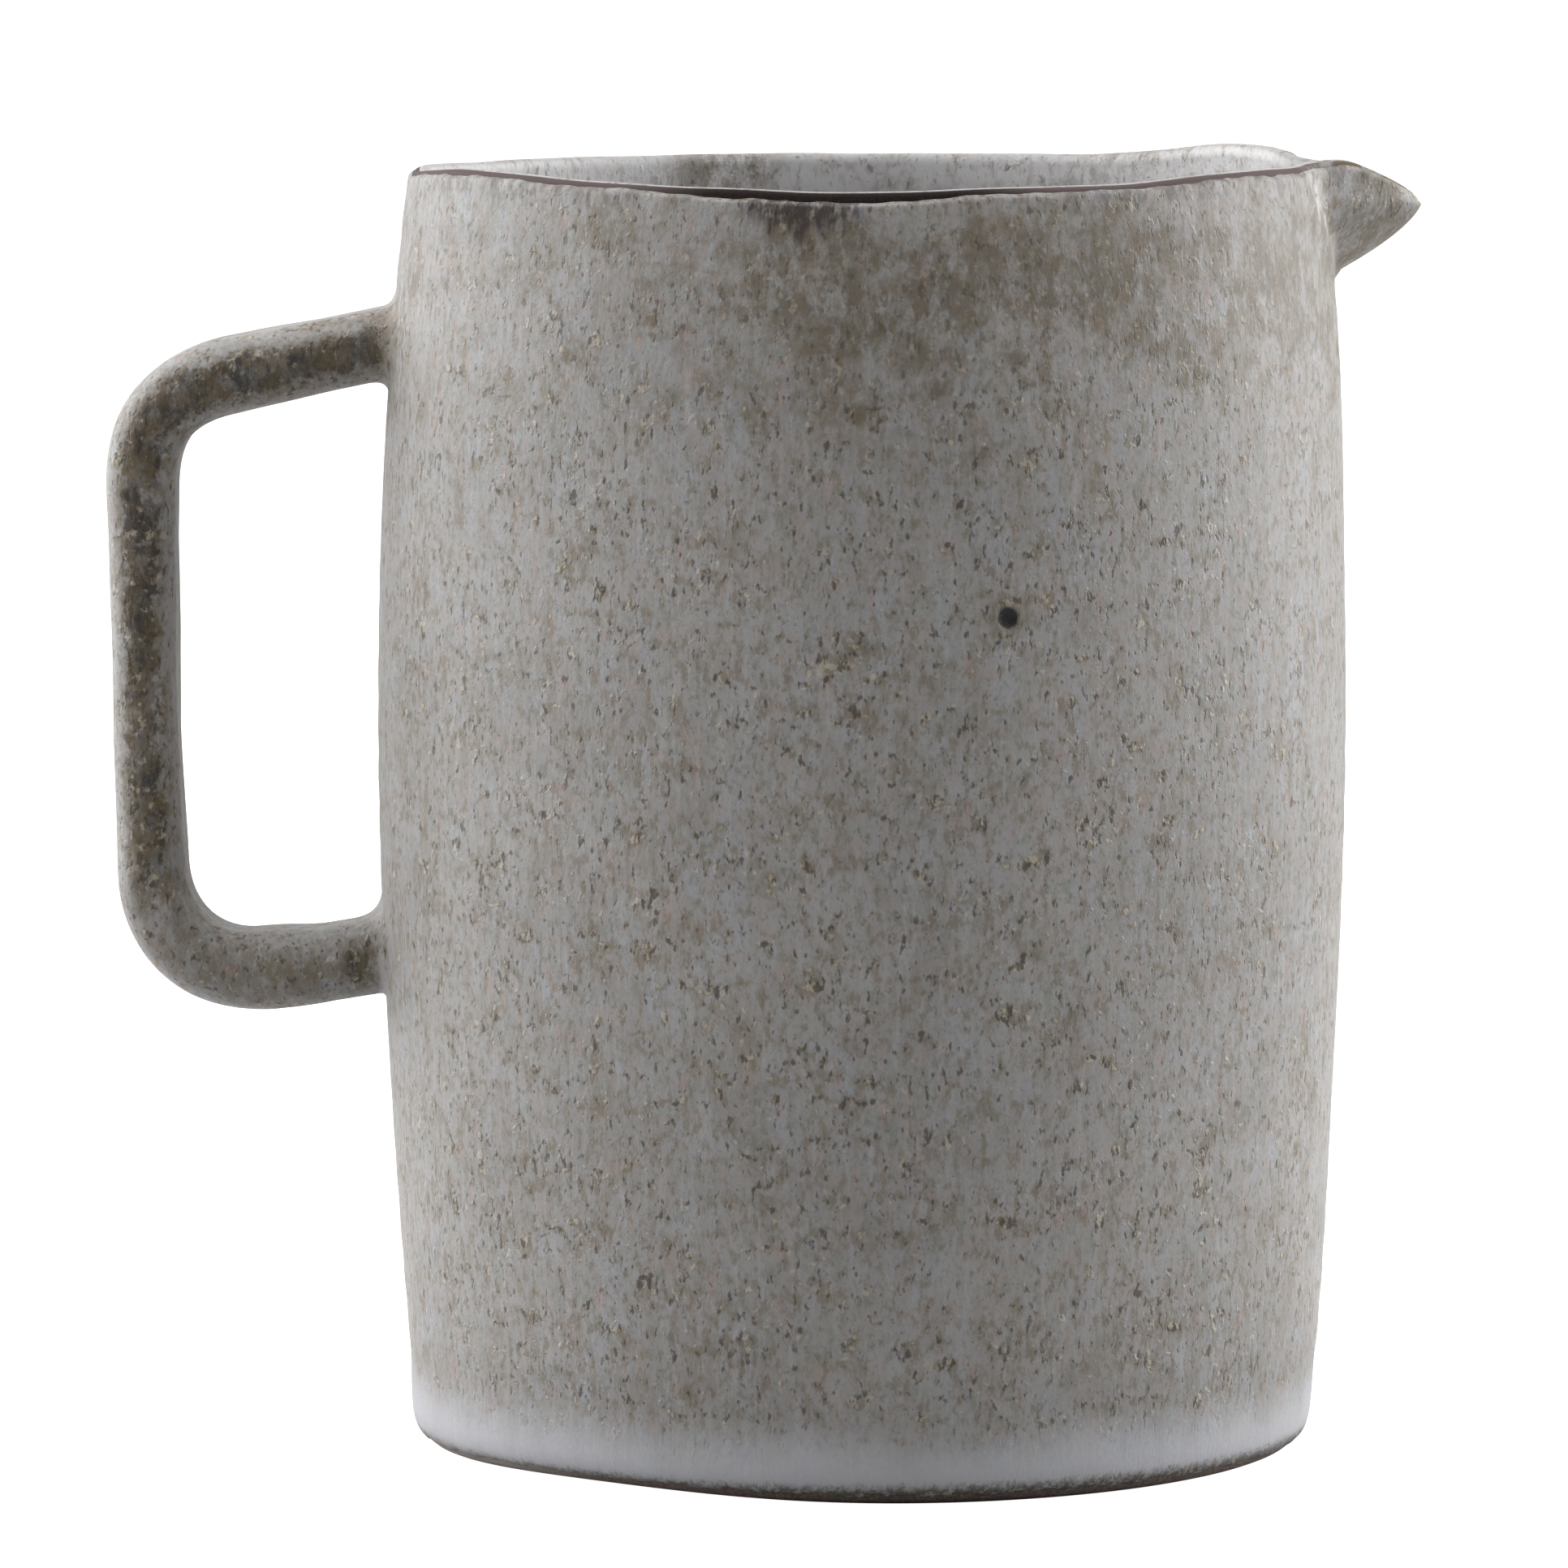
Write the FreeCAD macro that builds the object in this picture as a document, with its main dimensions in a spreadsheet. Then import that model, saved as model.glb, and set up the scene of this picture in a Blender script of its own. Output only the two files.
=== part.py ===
"""Stoneware pitcher, modelled the way a potter puts one together.

A barrel-shaped wall stands on a floor disc.  A beak-shaped spout covers a notch in the wall.  A
strap handle butts against the wall on the other side, and a collar of soft clay blends each of its
ends into the wall.  Coats of glaze cover the clay and stop short of the lip and of the foot.

Frame: +Z up, +X towards the spout, -X towards the handle.  The origin is the middle of the foot.
Millimetres throughout.
"""
import FreeCAD, Part
import math
import os
import re

import Sketcher
from FreeCAD import Vector

# Driving dimensions: alias, size, meaning.
SIZES = (
    ("glaze", 0.5, "thickness of every coat of glaze"),
    ("foot_radius", 51.8, "flat face that the pitcher rests on"),
    ("heel_rise", 0.9, "height of the bevel between the foot and the heel's round"),
    ("heel_inset", 3.3, "how far the bevel's top lies inside the heel radius"),
    ("heel_radius", 55.5, "clay, where the wall stands on the floor"),
    ("floor_thickness", 6.5, "floor disc"),
    ("belly_radius", 59.5, "clay, at the widest level"),
    ("belly_height", 91.0, "widest level above the foot"),
    ("blank_height", 163.0, "wall before its lip is cut"),
    ("blank_radius", 55.4, "clay, at the top of the uncut wall"),
    ("wall_at_foot", 5.0, "clay wall just above the cove"),
    ("wall_at_belly", 4.2, "clay wall at the belly"),
    ("wall_at_lip", 3.2, "clay wall at the lip"),
    ("cove", 7.0, "radius of the round between wall and floor inside"),
    ("lip_side", 158.0, "level of the lip at the pitcher's two sides"),
    ("lip_back", 159.5, "level of the lip above the handle"),
    ("lip_front", 159.7, "level of the lip where the spout's fall begins"),
    ("lip_back_reach", 58.0, "distance from the axis of the lip above the handle"),
    ("lip_front_reach", 58.0, "distance from the axis where the spout's fall begins"),
    ("lip_tip", 154.7, "level of the lip at the spout's tip"),
    ("lip_tip_reach", 69.4, "distance of the spout's tip from the axis, glaze included"),
    ("bare_lip", 1.2, "clay left bare below the lip outside"),
    ("bare_lip_inside", 0.4, "clay left bare below the lip inside"),
    ("glaze_foot_level", 1.5, "lower edge of the glaze outside"),
    ("glaze_foot_radius", 53.6, "distance of that edge from the axis"),
    ("spout_back", 48.0, "flat back of the spout's sections, inside the pitcher"),
    ("spout_wall", 3.0, "clay wall of the spout"),
    ("nose", 3.4, "radius of the spout's nose in plan"),
    ("strap_thickness", 8.1, "clay strap, in the plane of the handle"),
    ("strap_width", 14.4, "clay strap, across that plane"),
    ("strap_round", 3.2, "rounded edges of the strap"),
    ("strap_root", 54.0, "distance of both strap ends from the axis, inside the wall"),
    ("strap_top", 138.0, "level of the strap's upper end"),
    ("strap_bottom", 61.1, "level of the strap's lower end"),
    ("upper_bend_reach", 78.3, "centre of the upper bend from the axis"),
    ("upper_bend_level", 121.7, "level of that centre"),
    ("upper_bend", 11.0, "radius of the upper bend along the strap's middle"),
    ("lower_bend_reach", 78.7, "centre of the lower bend from the axis"),
    ("lower_bend_level", 68.15, "level of that centre"),
    ("lower_bend", 9.3, "radius of the lower bend along the strap's middle"),
    ("collar_back", 53.5, "plane of the collars' wide end, inside the wall"),
    ("collar_waist", 58.6, "plane of the collars' middle section"),
    ("collar_end", 63.5, "plane of the collars' narrow end"),
)

# Sections of the spout's clay: name, level, distance of the tip from the axis, half of the width
# at the flat back.
SPOUT_SECTIONS = (
    ("root", 142.1, 55.0, 6.5),
    ("throat", 147.4, 61.2, 11.5),
    ("cheek", 152.3, 67.6, 15.3),
    ("brim", 156.1, 69.4, 17.0),
    ("crown", 163.1, 70.2, 18.0),
)

# Sections of both collars: name, level, height, width, rounded corner.
COLLAR_SECTIONS = (
    ("top_collar_back", 138.1, 21.0, 34.0, 8.0),
    ("top_collar_waist", 137.1, 13.4, 21.0, 5.5),
    ("top_collar_end", 136.0, 10.4, 16.8, 4.2),
    ("bottom_collar_back", 61.6, 20.0, 35.0, 8.0),
    ("bottom_collar_waist", 60.9, 13.4, 22.0, 5.5),
    ("bottom_collar_end", 60.2, 10.4, 16.8, 4.2),
)

doc = FreeCAD.newDocument("pitcher")


def section_sizes():
    """Rows of the sheet for the sections of the spout and of the collars."""
    for name, level, tip, half in SPOUT_SECTIONS:
        yield f"spout_{name}_level", level, f"level of the spout's {name}"
        yield f"spout_{name}_tip", tip, "distance of that section's tip from the axis"
        yield f"spout_{name}_half", half, "half of that section's width at its back"
    for name, level, tall, wide, corner in COLLAR_SECTIONS:
        yield f"{name}_level", level, f"middle of the section {name}"
        yield f"{name}_tall", tall, "its height"
        yield f"{name}_wide", wide, "its width"
        yield f"{name}_corner", corner, "its rounded corners"


def fill_sheet():
    """The sheet of driving dimensions, one row for each."""
    sheet = doc.addObject("Spreadsheet::Sheet", "Sizes")
    for row, (alias, size, meaning) in enumerate(SIZES + tuple(section_sizes()), start=1):
        sheet.set(f"A{row}", alias)
        sheet.set(f"B{row}", str(size))
        sheet.set(f"C{row}", meaning)
        sheet.setAlias(f"B{row}", alias)
    doc.recompute()
    return sheet


def bound(formula):
    """The formula with every alias written as a reference to its cell."""
    return re.sub(r"[a-z][a-z_]+", lambda word: f"Sizes.{word[0]}", formula)


def worth(formula):
    """The formula's present value."""
    return float(sheet.evalExpression(bound(formula)))


def new_sketch(body, role, name, offset=None):
    """A sketch on one of the body's own origin planes, moved off it by a formula if one is given."""
    sketch = body.newObject("Sketcher::SketchObject", name)
    plane = next(item for item in body.Origin.OriginFeatures if item.Role == role)
    sketch.AttachmentSupport = [(plane, "")]
    sketch.MapMode = "FlatFace"
    if offset:
        sketch.setExpression("AttachmentOffset.Base.z", bound(offset))
    return sketch


def rule(sketch, kind, *places, formula):
    """A constraint on the given places whose size follows the sheet."""
    row = sketch.addConstraint(Sketcher.Constraint(kind, *places, worth(formula)))
    sketch.setExpression(f"Constraints[{row}]", bound(formula))


def pin(sketch, edge, corner, across, up):
    """Ties one point of the sketch to the origin by two formulas."""
    rule(sketch, "DistanceX", -1, 1, edge, corner, formula=across)
    rule(sketch, "DistanceY", -1, 1, edge, corner, formula=up)


def level_arc(start, end, level):
    """The shorter arc from start to end whose centre lies on the given level."""
    rise = (end.y - level) ** 2 - (start.y - level) ** 2
    centre = Vector((end.x**2 - start.x**2 + rise) / (2 * (end.x - start.x)), level, 0)
    middle = (start - centre) + (end - centre)
    return Part.Arc(start, centre + middle.normalize() * (start - centre).Length, end)


def draw_outline(sketch, corners, arcs):
    """A closed outline through corners, each given as a pair of formulas.

    arcs maps the number of an edge to the formula for its centre's level.  The rest are straight.
    """
    points = [Vector(worth(across), worth(up), 0) for across, up in corners]
    count = len(points)
    near, far = [], []
    for edge in range(count):
        start, end = points[edge], points[(edge + 1) % count]
        curve = level_arc(start, end, worth(arcs[edge])) if edge in arcs else Part.LineSegment(start, end)
        sketch.addGeometry(curve, False)
        placed = sketch.Geometry[edge]
        forward = (placed.StartPoint - start).Length < (placed.EndPoint - start).Length
        near.append(1 if forward else 2)
        far.append(2 if forward else 1)
    for edge in range(count):
        following = (edge + 1) % count
        sketch.addConstraint(Sketcher.Constraint("Coincident", edge, far[edge], following, near[following]))
        pin(sketch, edge, near[edge], *corners[edge])
    for edge, level in arcs.items():
        rule(sketch, "DistanceY", -1, 1, edge, 3, formula=level)


def turn(body, name, kind, corners, arcs):
    """A Revolution or a Groove about the axis, from an outline that touches the axis."""
    sketch = new_sketch(body, "XZ_Plane", f"{name}_outline")
    draw_outline(sketch, corners, arcs)
    feature = body.newObject(kind, name)
    feature.Profile = sketch
    feature.ReferenceAxis = (sketch, ["V_Axis"])
    feature.Angle = 360
    body.Tip = feature
    return feature


def new_body(name):
    return doc.addObject("PartDesign::Body", name)


def cut(name, base, *tools):
    """base less every tool."""
    tool = tools[0]
    if len(tools) > 1:
        tool = doc.addObject("Part::MultiFuse", f"{name}_cutter")
        tool.Shapes = list(tools)
    piece = doc.addObject("Part::Cut", name)
    piece.Base = base
    piece.Tool = tool
    return piece


def outside(lowest, grow="0"):
    """Outline of the pot's outside, from the axis at the given corner up to the top of the blank."""
    corners = [
        (f"heel_radius + {grow}", "floor_thickness"),
        (f"belly_radius + {grow}", "belly_height"),
        (f"blank_radius + {grow}", "blank_height"),
        ("0", "blank_height"),
    ]
    first = len(lowest) - 1
    arcs = {first: "floor_thickness", first + 1: "belly_height", first + 2: "belly_height"}
    return lowest + corners, arcs


FOOT = [("0", "0"), ("foot_radius", "0"), ("heel_radius - heel_inset", "heel_rise")]


def hollow(shrink="0"):
    """Outline of the pot's hollow, from the floor up to the top of the blank."""
    corners = [
        ("0", f"floor_thickness + {shrink}"),
        ("heel_radius - wall_at_foot - cove", f"floor_thickness + {shrink}"),
        (f"heel_radius - wall_at_foot - {shrink}", "floor_thickness + cove"),
        (f"belly_radius - wall_at_belly - {shrink}", "belly_height"),
        (f"blank_radius - wall_at_lip - {shrink}", "blank_height"),
        ("0", "blank_height"),
    ]
    return corners, {1: "floor_thickness + cove", 2: "belly_height", 3: "belly_height"}


def make_solid_pot():
    """The whole pot as if it were solid clay.  It trims whatever is set against the wall."""
    body = new_body("solid_pot")
    turn(body, "solid_pot_turn", "PartDesign::Revolution", *outside(FOOT))
    return body


def make_floor():
    """Floor disc with its bevelled foot and rounded heel."""
    body = new_body("floor")
    corners = FOOT + [("heel_radius", "floor_thickness"), ("0", "floor_thickness")]
    turn(body, "floor_turn", "PartDesign::Revolution", corners, {2: "floor_thickness"})
    return body


def make_wall_blank():
    """Barrel wall before its lip is cut, with a cove inside where it meets the floor."""
    body = new_body("wall_blank")
    corners, arcs = outside([("0", "floor_thickness")])
    del arcs[0]
    turn(body, "wall_blank_turn", "PartDesign::Revolution", corners, arcs)
    turn(body, "wall_blank_hollow", "PartDesign::Groove", *hollow())
    return body


def make_outer_coat():
    """The pot's outside grown by the glaze, from the glaze's lower edge up."""
    body = new_body("outer_coat")
    lowest = [("0", "glaze_foot_level"), ("glaze_foot_radius", "glaze_foot_level")]
    turn(body, "outer_coat_turn", "PartDesign::Revolution", *outside(lowest, "glaze"))
    return body


def make_inner_coat():
    """Glaze over the whole inside."""
    body = new_body("inner_coat")
    turn(body, "inner_coat_turn", "PartDesign::Revolution", *hollow())
    turn(body, "inner_coat_hollow", "PartDesign::Groove", *hollow("glaze"))
    return body


def make_above_lip(name, drop="0"):
    """Everything above the lip, which dips at the sides and falls along the spout."""
    body = new_body(name)
    sketch = new_sketch(body, "XZ_Plane", f"{name}_outline")
    back = Vector(-worth("lip_back_reach"), worth(f"lip_back - {drop}"), 0)
    side = Vector(0, worth(f"lip_side - {drop}"), 0)
    front = Vector(worth("lip_front_reach"), worth(f"lip_front - {drop}"), 0)
    tip = Vector(worth("lip_tip_reach"), worth(f"lip_tip - {drop}"), 0)
    far_tip = tip + (tip - front) * 0.5
    top = worth("blank_height + 6")
    sketch.addGeometry(Part.Arc(back, side, front), False)
    corners = [front, far_tip, Vector(far_tip.x, top, 0), Vector(back.x, top, 0), back]
    for start, end in zip(corners, corners[1:]):
        sketch.addGeometry(Part.LineSegment(start, end), False)
    forward = (sketch.Geometry[0].StartPoint - back).Length < 1e-3
    at_back, at_front = (1, 2) if forward else (2, 1)
    for first, corner, second, other in ((0, at_front, 1, 1), (1, 2, 2, 1), (2, 2, 3, 1), (3, 2, 4, 1)):
        sketch.addConstraint(Sketcher.Constraint("Coincident", first, corner, second, other))
    sketch.addConstraint(Sketcher.Constraint("Coincident", 4, 2, 0, at_back))
    for edge, kind in ((2, "Vertical"), (3, "Horizontal"), (4, "Vertical")):
        sketch.addConstraint(Sketcher.Constraint(kind, edge))
    pin(sketch, 0, at_back, "-lip_back_reach", f"lip_back - {drop}")
    pin(sketch, 0, at_front, "lip_front_reach", f"lip_front - {drop}")
    rise = "(lip_back - lip_side)"
    rule(sketch, "Radius", 0, formula=f"(lip_back_reach ^ 2 + {rise} ^ 2) / (2 * {rise})")
    run = "(lip_tip_reach - lip_front_reach)"
    pin(sketch, 1, 2, f"lip_front_reach + 1.5 * {run}", f"lip_front - {drop} + 1.5 * (lip_tip - lip_front)")
    rule(sketch, "DistanceY", -1, 1, 3, 2, formula="blank_height + 6")
    pad = body.newObject("PartDesign::Pad", f"{name}_pad")
    pad.Profile = sketch
    pad.Midplane = True
    pad.setExpression("Length", bound("3 * belly_radius"))
    body.Tip = pad
    return body


def draw_beak(sketch, tip, half, shrink):
    """A V with a rounded nose and a flat back, its flanks moved inwards by shrink."""
    half = f"({half} - 1.4 * {shrink})"
    back, side = worth("spout_back"), worth(half)
    centre = Vector(worth(f"{tip} - nose"), 0, 0)
    radius = worth(f"nose - {shrink}")
    upper, lower = Vector(back, side, 0), Vector(back, -side, 0)
    reach = upper - centre
    angle = math.atan2(reach.y, reach.x) - math.acos(radius / reach.Length)
    touch = centre + Vector(math.cos(angle), math.sin(angle), 0) * radius
    opposite = Vector(touch.x, -touch.y, 0)
    sketch.addGeometry(Part.LineSegment(upper, lower), False)
    sketch.addGeometry(Part.LineSegment(lower, opposite), False)
    sketch.addGeometry(Part.Arc(opposite, centre + Vector(radius, 0, 0), touch), False)
    sketch.addGeometry(Part.LineSegment(touch, upper), False)
    sketch.addConstraint(Sketcher.Constraint("Coincident", 0, 2, 1, 1))
    sketch.addConstraint(Sketcher.Constraint("Coincident", 3, 2, 0, 1))
    sketch.addConstraint(Sketcher.Constraint("Tangent", 1, 2, 2, 1))
    sketch.addConstraint(Sketcher.Constraint("Tangent", 2, 2, 3, 1))
    pin(sketch, 0, 1, "spout_back", half)
    pin(sketch, 0, 2, "spout_back", f"-{half}")
    pin(sketch, 2, 3, f"{tip} - nose", "0")
    rule(sketch, "Radius", 2, formula=f"nose - {shrink}")


def loft(body, name, sketches):
    feature = body.newObject("PartDesign::AdditiveLoft", f"{name}_loft")
    feature.Profile = sketches[0]
    feature.Sections = sketches[1:]
    body.Tip = feature
    return body


def make_beak(name, shrink="0"):
    """The spout's V from below its root to above its lip."""
    body = new_body(name)
    sketches = []
    for section, *_ in SPOUT_SECTIONS:
        sketch = new_sketch(body, "XY_Plane", f"{name}_{section}", f"spout_{section}_level")
        draw_beak(sketch, f"spout_{section}_tip", f"spout_{section}_half", shrink)
        sketches.append(sketch)
    return loft(body, name, sketches)


def draw_rounded_box(sketch, level, tall, wide, corner):
    """A rounded rectangle centred on the sketch's vertical axis at the given level."""
    up, side, inset = worth(tall) / 2, worth(wide) / 2, worth(corner)
    middle = worth(level)
    straights = (
        (Vector(-side + inset, middle - up, 0), Vector(side - inset, middle - up, 0)),
        (Vector(side, middle - up + inset, 0), Vector(side, middle + up - inset, 0)),
        (Vector(side - inset, middle + up, 0), Vector(-side + inset, middle + up, 0)),
        (Vector(-side, middle + up - inset, 0), Vector(-side, middle - up + inset, 0)),
    )
    slant = inset * (1 - math.sqrt(0.5))
    bulges = (
        Vector(side - slant, middle - up + slant, 0),
        Vector(side - slant, middle + up - slant, 0),
        Vector(-side + slant, middle + up - slant, 0),
        Vector(-side + slant, middle - up + slant, 0),
    )
    for index, (start, end) in enumerate(straights):
        sketch.addGeometry(Part.LineSegment(start, end), False)
        sketch.addGeometry(Part.Arc(end, bulges[index], straights[(index + 1) % 4][0]), False)
    for edge in range(8):
        sketch.addConstraint(Sketcher.Constraint("Tangent", edge, 2, (edge + 1) % 8, 1))
    for edge, kind in ((0, "Horizontal"), (2, "Vertical"), (4, "Horizontal")):
        sketch.addConstraint(Sketcher.Constraint(kind, edge))
    for edge in (3, 5, 7):
        sketch.addConstraint(Sketcher.Constraint("Equal", 1, edge))
    rule(sketch, "Radius", 1, formula=corner)
    rule(sketch, "DistanceY", -1, 1, 0, 1, formula=f"{level} - ({tall}) / 2")
    rule(sketch, "DistanceY", -1, 1, 4, 1, formula=f"{level} + ({tall}) / 2")
    rule(sketch, "DistanceX", -1, 1, 2, 1, formula=f"({wide}) / 2")
    rule(sketch, "DistanceX", -1, 1, 6, 1, formula=f"-({wide}) / 2")


def make_collar(name):
    """Soft clay pressed around one end of the strap, flaring onto the wall."""
    body = new_body(name)
    sketches = []
    for place in ("back", "waist", "end"):
        sketch = new_sketch(body, "YZ_Plane", f"{name}_{place}", f"-collar_{place}")
        draw_rounded_box(sketch, *(f"{name}_{place}_{size}" for size in ("level", "tall", "wide", "corner")))
        sketches.append(sketch)
    return loft(body, name, sketches)


def draw_strap_path(sketch):
    """Straight run, bend, straight run, bend, straight run, all tangent."""
    root, top, bottom = worth("-strap_root"), worth("strap_top"), worth("strap_bottom")
    upper = Vector(worth("-upper_bend_reach"), worth("upper_bend_level"), 0)
    lower = Vector(worth("-lower_bend_reach"), worth("lower_bend_level"), 0)
    wide, tight = worth("upper_bend"), worth("lower_bend")
    high = upper + Vector(-0.2, 0.98, 0) * wide
    middle_high, middle_low = upper + Vector(-wide, 0, 0), lower + Vector(-tight, 0, 0)
    low = lower + Vector(-0.09, -0.995, 0) * tight
    bend_high, bend_low = upper + Vector(-0.77, 0.64, 0) * wide, lower + Vector(-0.74, -0.67, 0) * tight
    sketch.addGeometry(Part.LineSegment(Vector(root, top, 0), high), False)
    sketch.addGeometry(Part.Arc(high, bend_high, middle_high), False)
    sketch.addGeometry(Part.LineSegment(middle_high, middle_low), False)
    sketch.addGeometry(Part.Arc(middle_low, bend_low, low), False)
    sketch.addGeometry(Part.LineSegment(low, Vector(root, bottom, 0)), False)
    for edge in range(4):
        sketch.addConstraint(Sketcher.Constraint("Tangent", edge, 2, edge + 1, 1))
    pin(sketch, 0, 1, "-strap_root", "strap_top")
    pin(sketch, 4, 2, "-strap_root", "strap_bottom")
    pin(sketch, 1, 3, "-upper_bend_reach", "upper_bend_level")
    pin(sketch, 3, 3, "-lower_bend_reach", "lower_bend_level")
    rule(sketch, "Radius", 1, formula="upper_bend")
    rule(sketch, "Radius", 3, formula="lower_bend")


def make_strap(name, grow="0"):
    """The handle's strap, swept from wall to wall."""
    body = new_body(name)
    path = new_sketch(body, "XZ_Plane", f"{name}_path")
    draw_strap_path(path)
    section = new_sketch(body, "YZ_Plane", f"{name}_section", "-strap_root")
    tall, wide = f"strap_thickness + 2 * {grow}", f"strap_width + 2 * {grow}"
    draw_rounded_box(section, "strap_top", tall, wide, f"strap_round + {grow}")
    doc.recompute()
    pipe = body.newObject("PartDesign::AdditivePipe", f"{name}_pipe")
    pipe.Profile = section
    pipe.Spine = (path, [f"Edge{edge}" for edge in range(1, 6)])
    body.Tip = pipe
    return body


def save(nodes):
    """Checks every object of the document, then writes one STEP file for each sub-part."""
    doc.recompute()
    failed = [item.Name for item in doc.Objects if {"Invalid", "Error"} & set(item.State)]
    if failed:
        raise RuntimeError(f"not computed: {failed}")
    for node in nodes:
        shape = node.Shape
        if shape.isNull() or not shape.isValid() or not shape.Solids:
            raise RuntimeError(f"{node.Label} is not a valid solid")
    os.makedirs("parts", exist_ok=True)
    for node in nodes:
        node.Shape.exportStep(os.path.join("parts", f"{node.Label}.step"))
        box = node.Shape.BoundBox
        print(f"{node.Label:22s} {len(node.Shape.Solids)} solid(s) {node.Shape.Volume:10.1f} mm3  "
              f"{box.XMin:.1f}..{box.XMax:.1f}  {box.YMin:.1f}..{box.YMax:.1f}  {box.ZMin:.1f}..{box.ZMax:.1f}")


sheet = fill_sheet()
solid_pot = make_solid_pot()
floor = make_floor()
wall_blank = make_wall_blank()
outer_coat = make_outer_coat()
inner_coat = make_inner_coat()
above_lip = make_above_lip("above_lip")
above_outer_coat = make_above_lip("above_outer_coat", "bare_lip")
above_inner_coat = make_above_lip("above_inner_coat", "bare_lip_inside")
beak = make_beak("beak")
beak_channel = make_beak("beak_channel", "spout_wall")
beak_face = make_beak("beak_face", "(-glaze)")
strap = make_strap("strap")
strap_face = make_strap("strap_face", "glaze")
top_collar = make_collar("top_collar")
bottom_collar = make_collar("bottom_collar")

wall = cut("wall", wall_blank, beak_channel, above_lip)
spout = cut("spout", beak, beak_channel, solid_pot, above_lip)
handle = cut("handle", strap, solid_pot)
handle_top_joint = cut("handle_top_joint", top_collar, solid_pot, strap)
handle_bottom_joint = cut("handle_bottom_joint", bottom_collar, solid_pot, strap)
neighbours = (solid_pot, beak_face, strap_face, top_collar, bottom_collar)
outer_glaze = cut("outer_glaze", outer_coat, *neighbours, above_outer_coat)
inner_glaze = cut("inner_glaze", inner_coat, beak_channel, above_inner_coat)
spout_glaze = cut("spout_glaze", beak_face, beak, solid_pot, above_outer_coat)
handle_glaze = cut("handle_glaze", strap_face, strap, solid_pot, top_collar, bottom_collar)
save([
    wall, floor, spout, handle, handle_top_joint, handle_bottom_joint,
    outer_glaze, inner_glaze, spout_glaze, handle_glaze,
])
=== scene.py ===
import math

import bmesh
import bpy
import numpy as np
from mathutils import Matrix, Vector


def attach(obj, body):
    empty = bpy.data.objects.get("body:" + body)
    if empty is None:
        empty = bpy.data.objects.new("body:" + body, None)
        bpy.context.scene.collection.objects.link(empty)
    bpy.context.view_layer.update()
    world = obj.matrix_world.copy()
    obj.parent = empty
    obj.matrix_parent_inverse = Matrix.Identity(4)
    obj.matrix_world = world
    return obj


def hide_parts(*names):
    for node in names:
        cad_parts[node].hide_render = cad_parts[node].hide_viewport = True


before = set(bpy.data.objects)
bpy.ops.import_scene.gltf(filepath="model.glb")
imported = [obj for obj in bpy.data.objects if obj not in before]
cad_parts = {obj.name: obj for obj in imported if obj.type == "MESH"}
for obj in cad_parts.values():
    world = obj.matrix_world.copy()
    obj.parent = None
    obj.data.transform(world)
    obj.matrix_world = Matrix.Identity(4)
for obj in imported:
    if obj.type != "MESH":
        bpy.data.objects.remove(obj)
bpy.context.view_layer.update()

scene = bpy.context.scene

# ---------------------------------------------------------------------------------------------
# The studio: a pale table that looks white to the camera and shines a little on the pitcher's
# sides, a long lens a little above the lip, soft lights left, right and overhead, and a room that
# is bright behind the pitcher and dim in front of it.
# ---------------------------------------------------------------------------------------------
LOOK_AT = Vector((-0.0095, 0.0, 0.0819))
TABLE_HALF = 30.0
camera = bpy.data.objects.new("camera", bpy.data.cameras.new("camera"))
camera.data.sensor_width = 36.0
camera.data.lens = 237.6
camera.data.clip_end = 80.0
camera.location = (-0.0095, -1.2828, 0.2092)
camera.rotation_euler = (LOOK_AT - camera.location).to_track_quat("-Z", "Y").to_euler()
bpy.context.collection.objects.link(camera)
scene.camera = camera
scene.view_settings.view_transform = "Standard"


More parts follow.
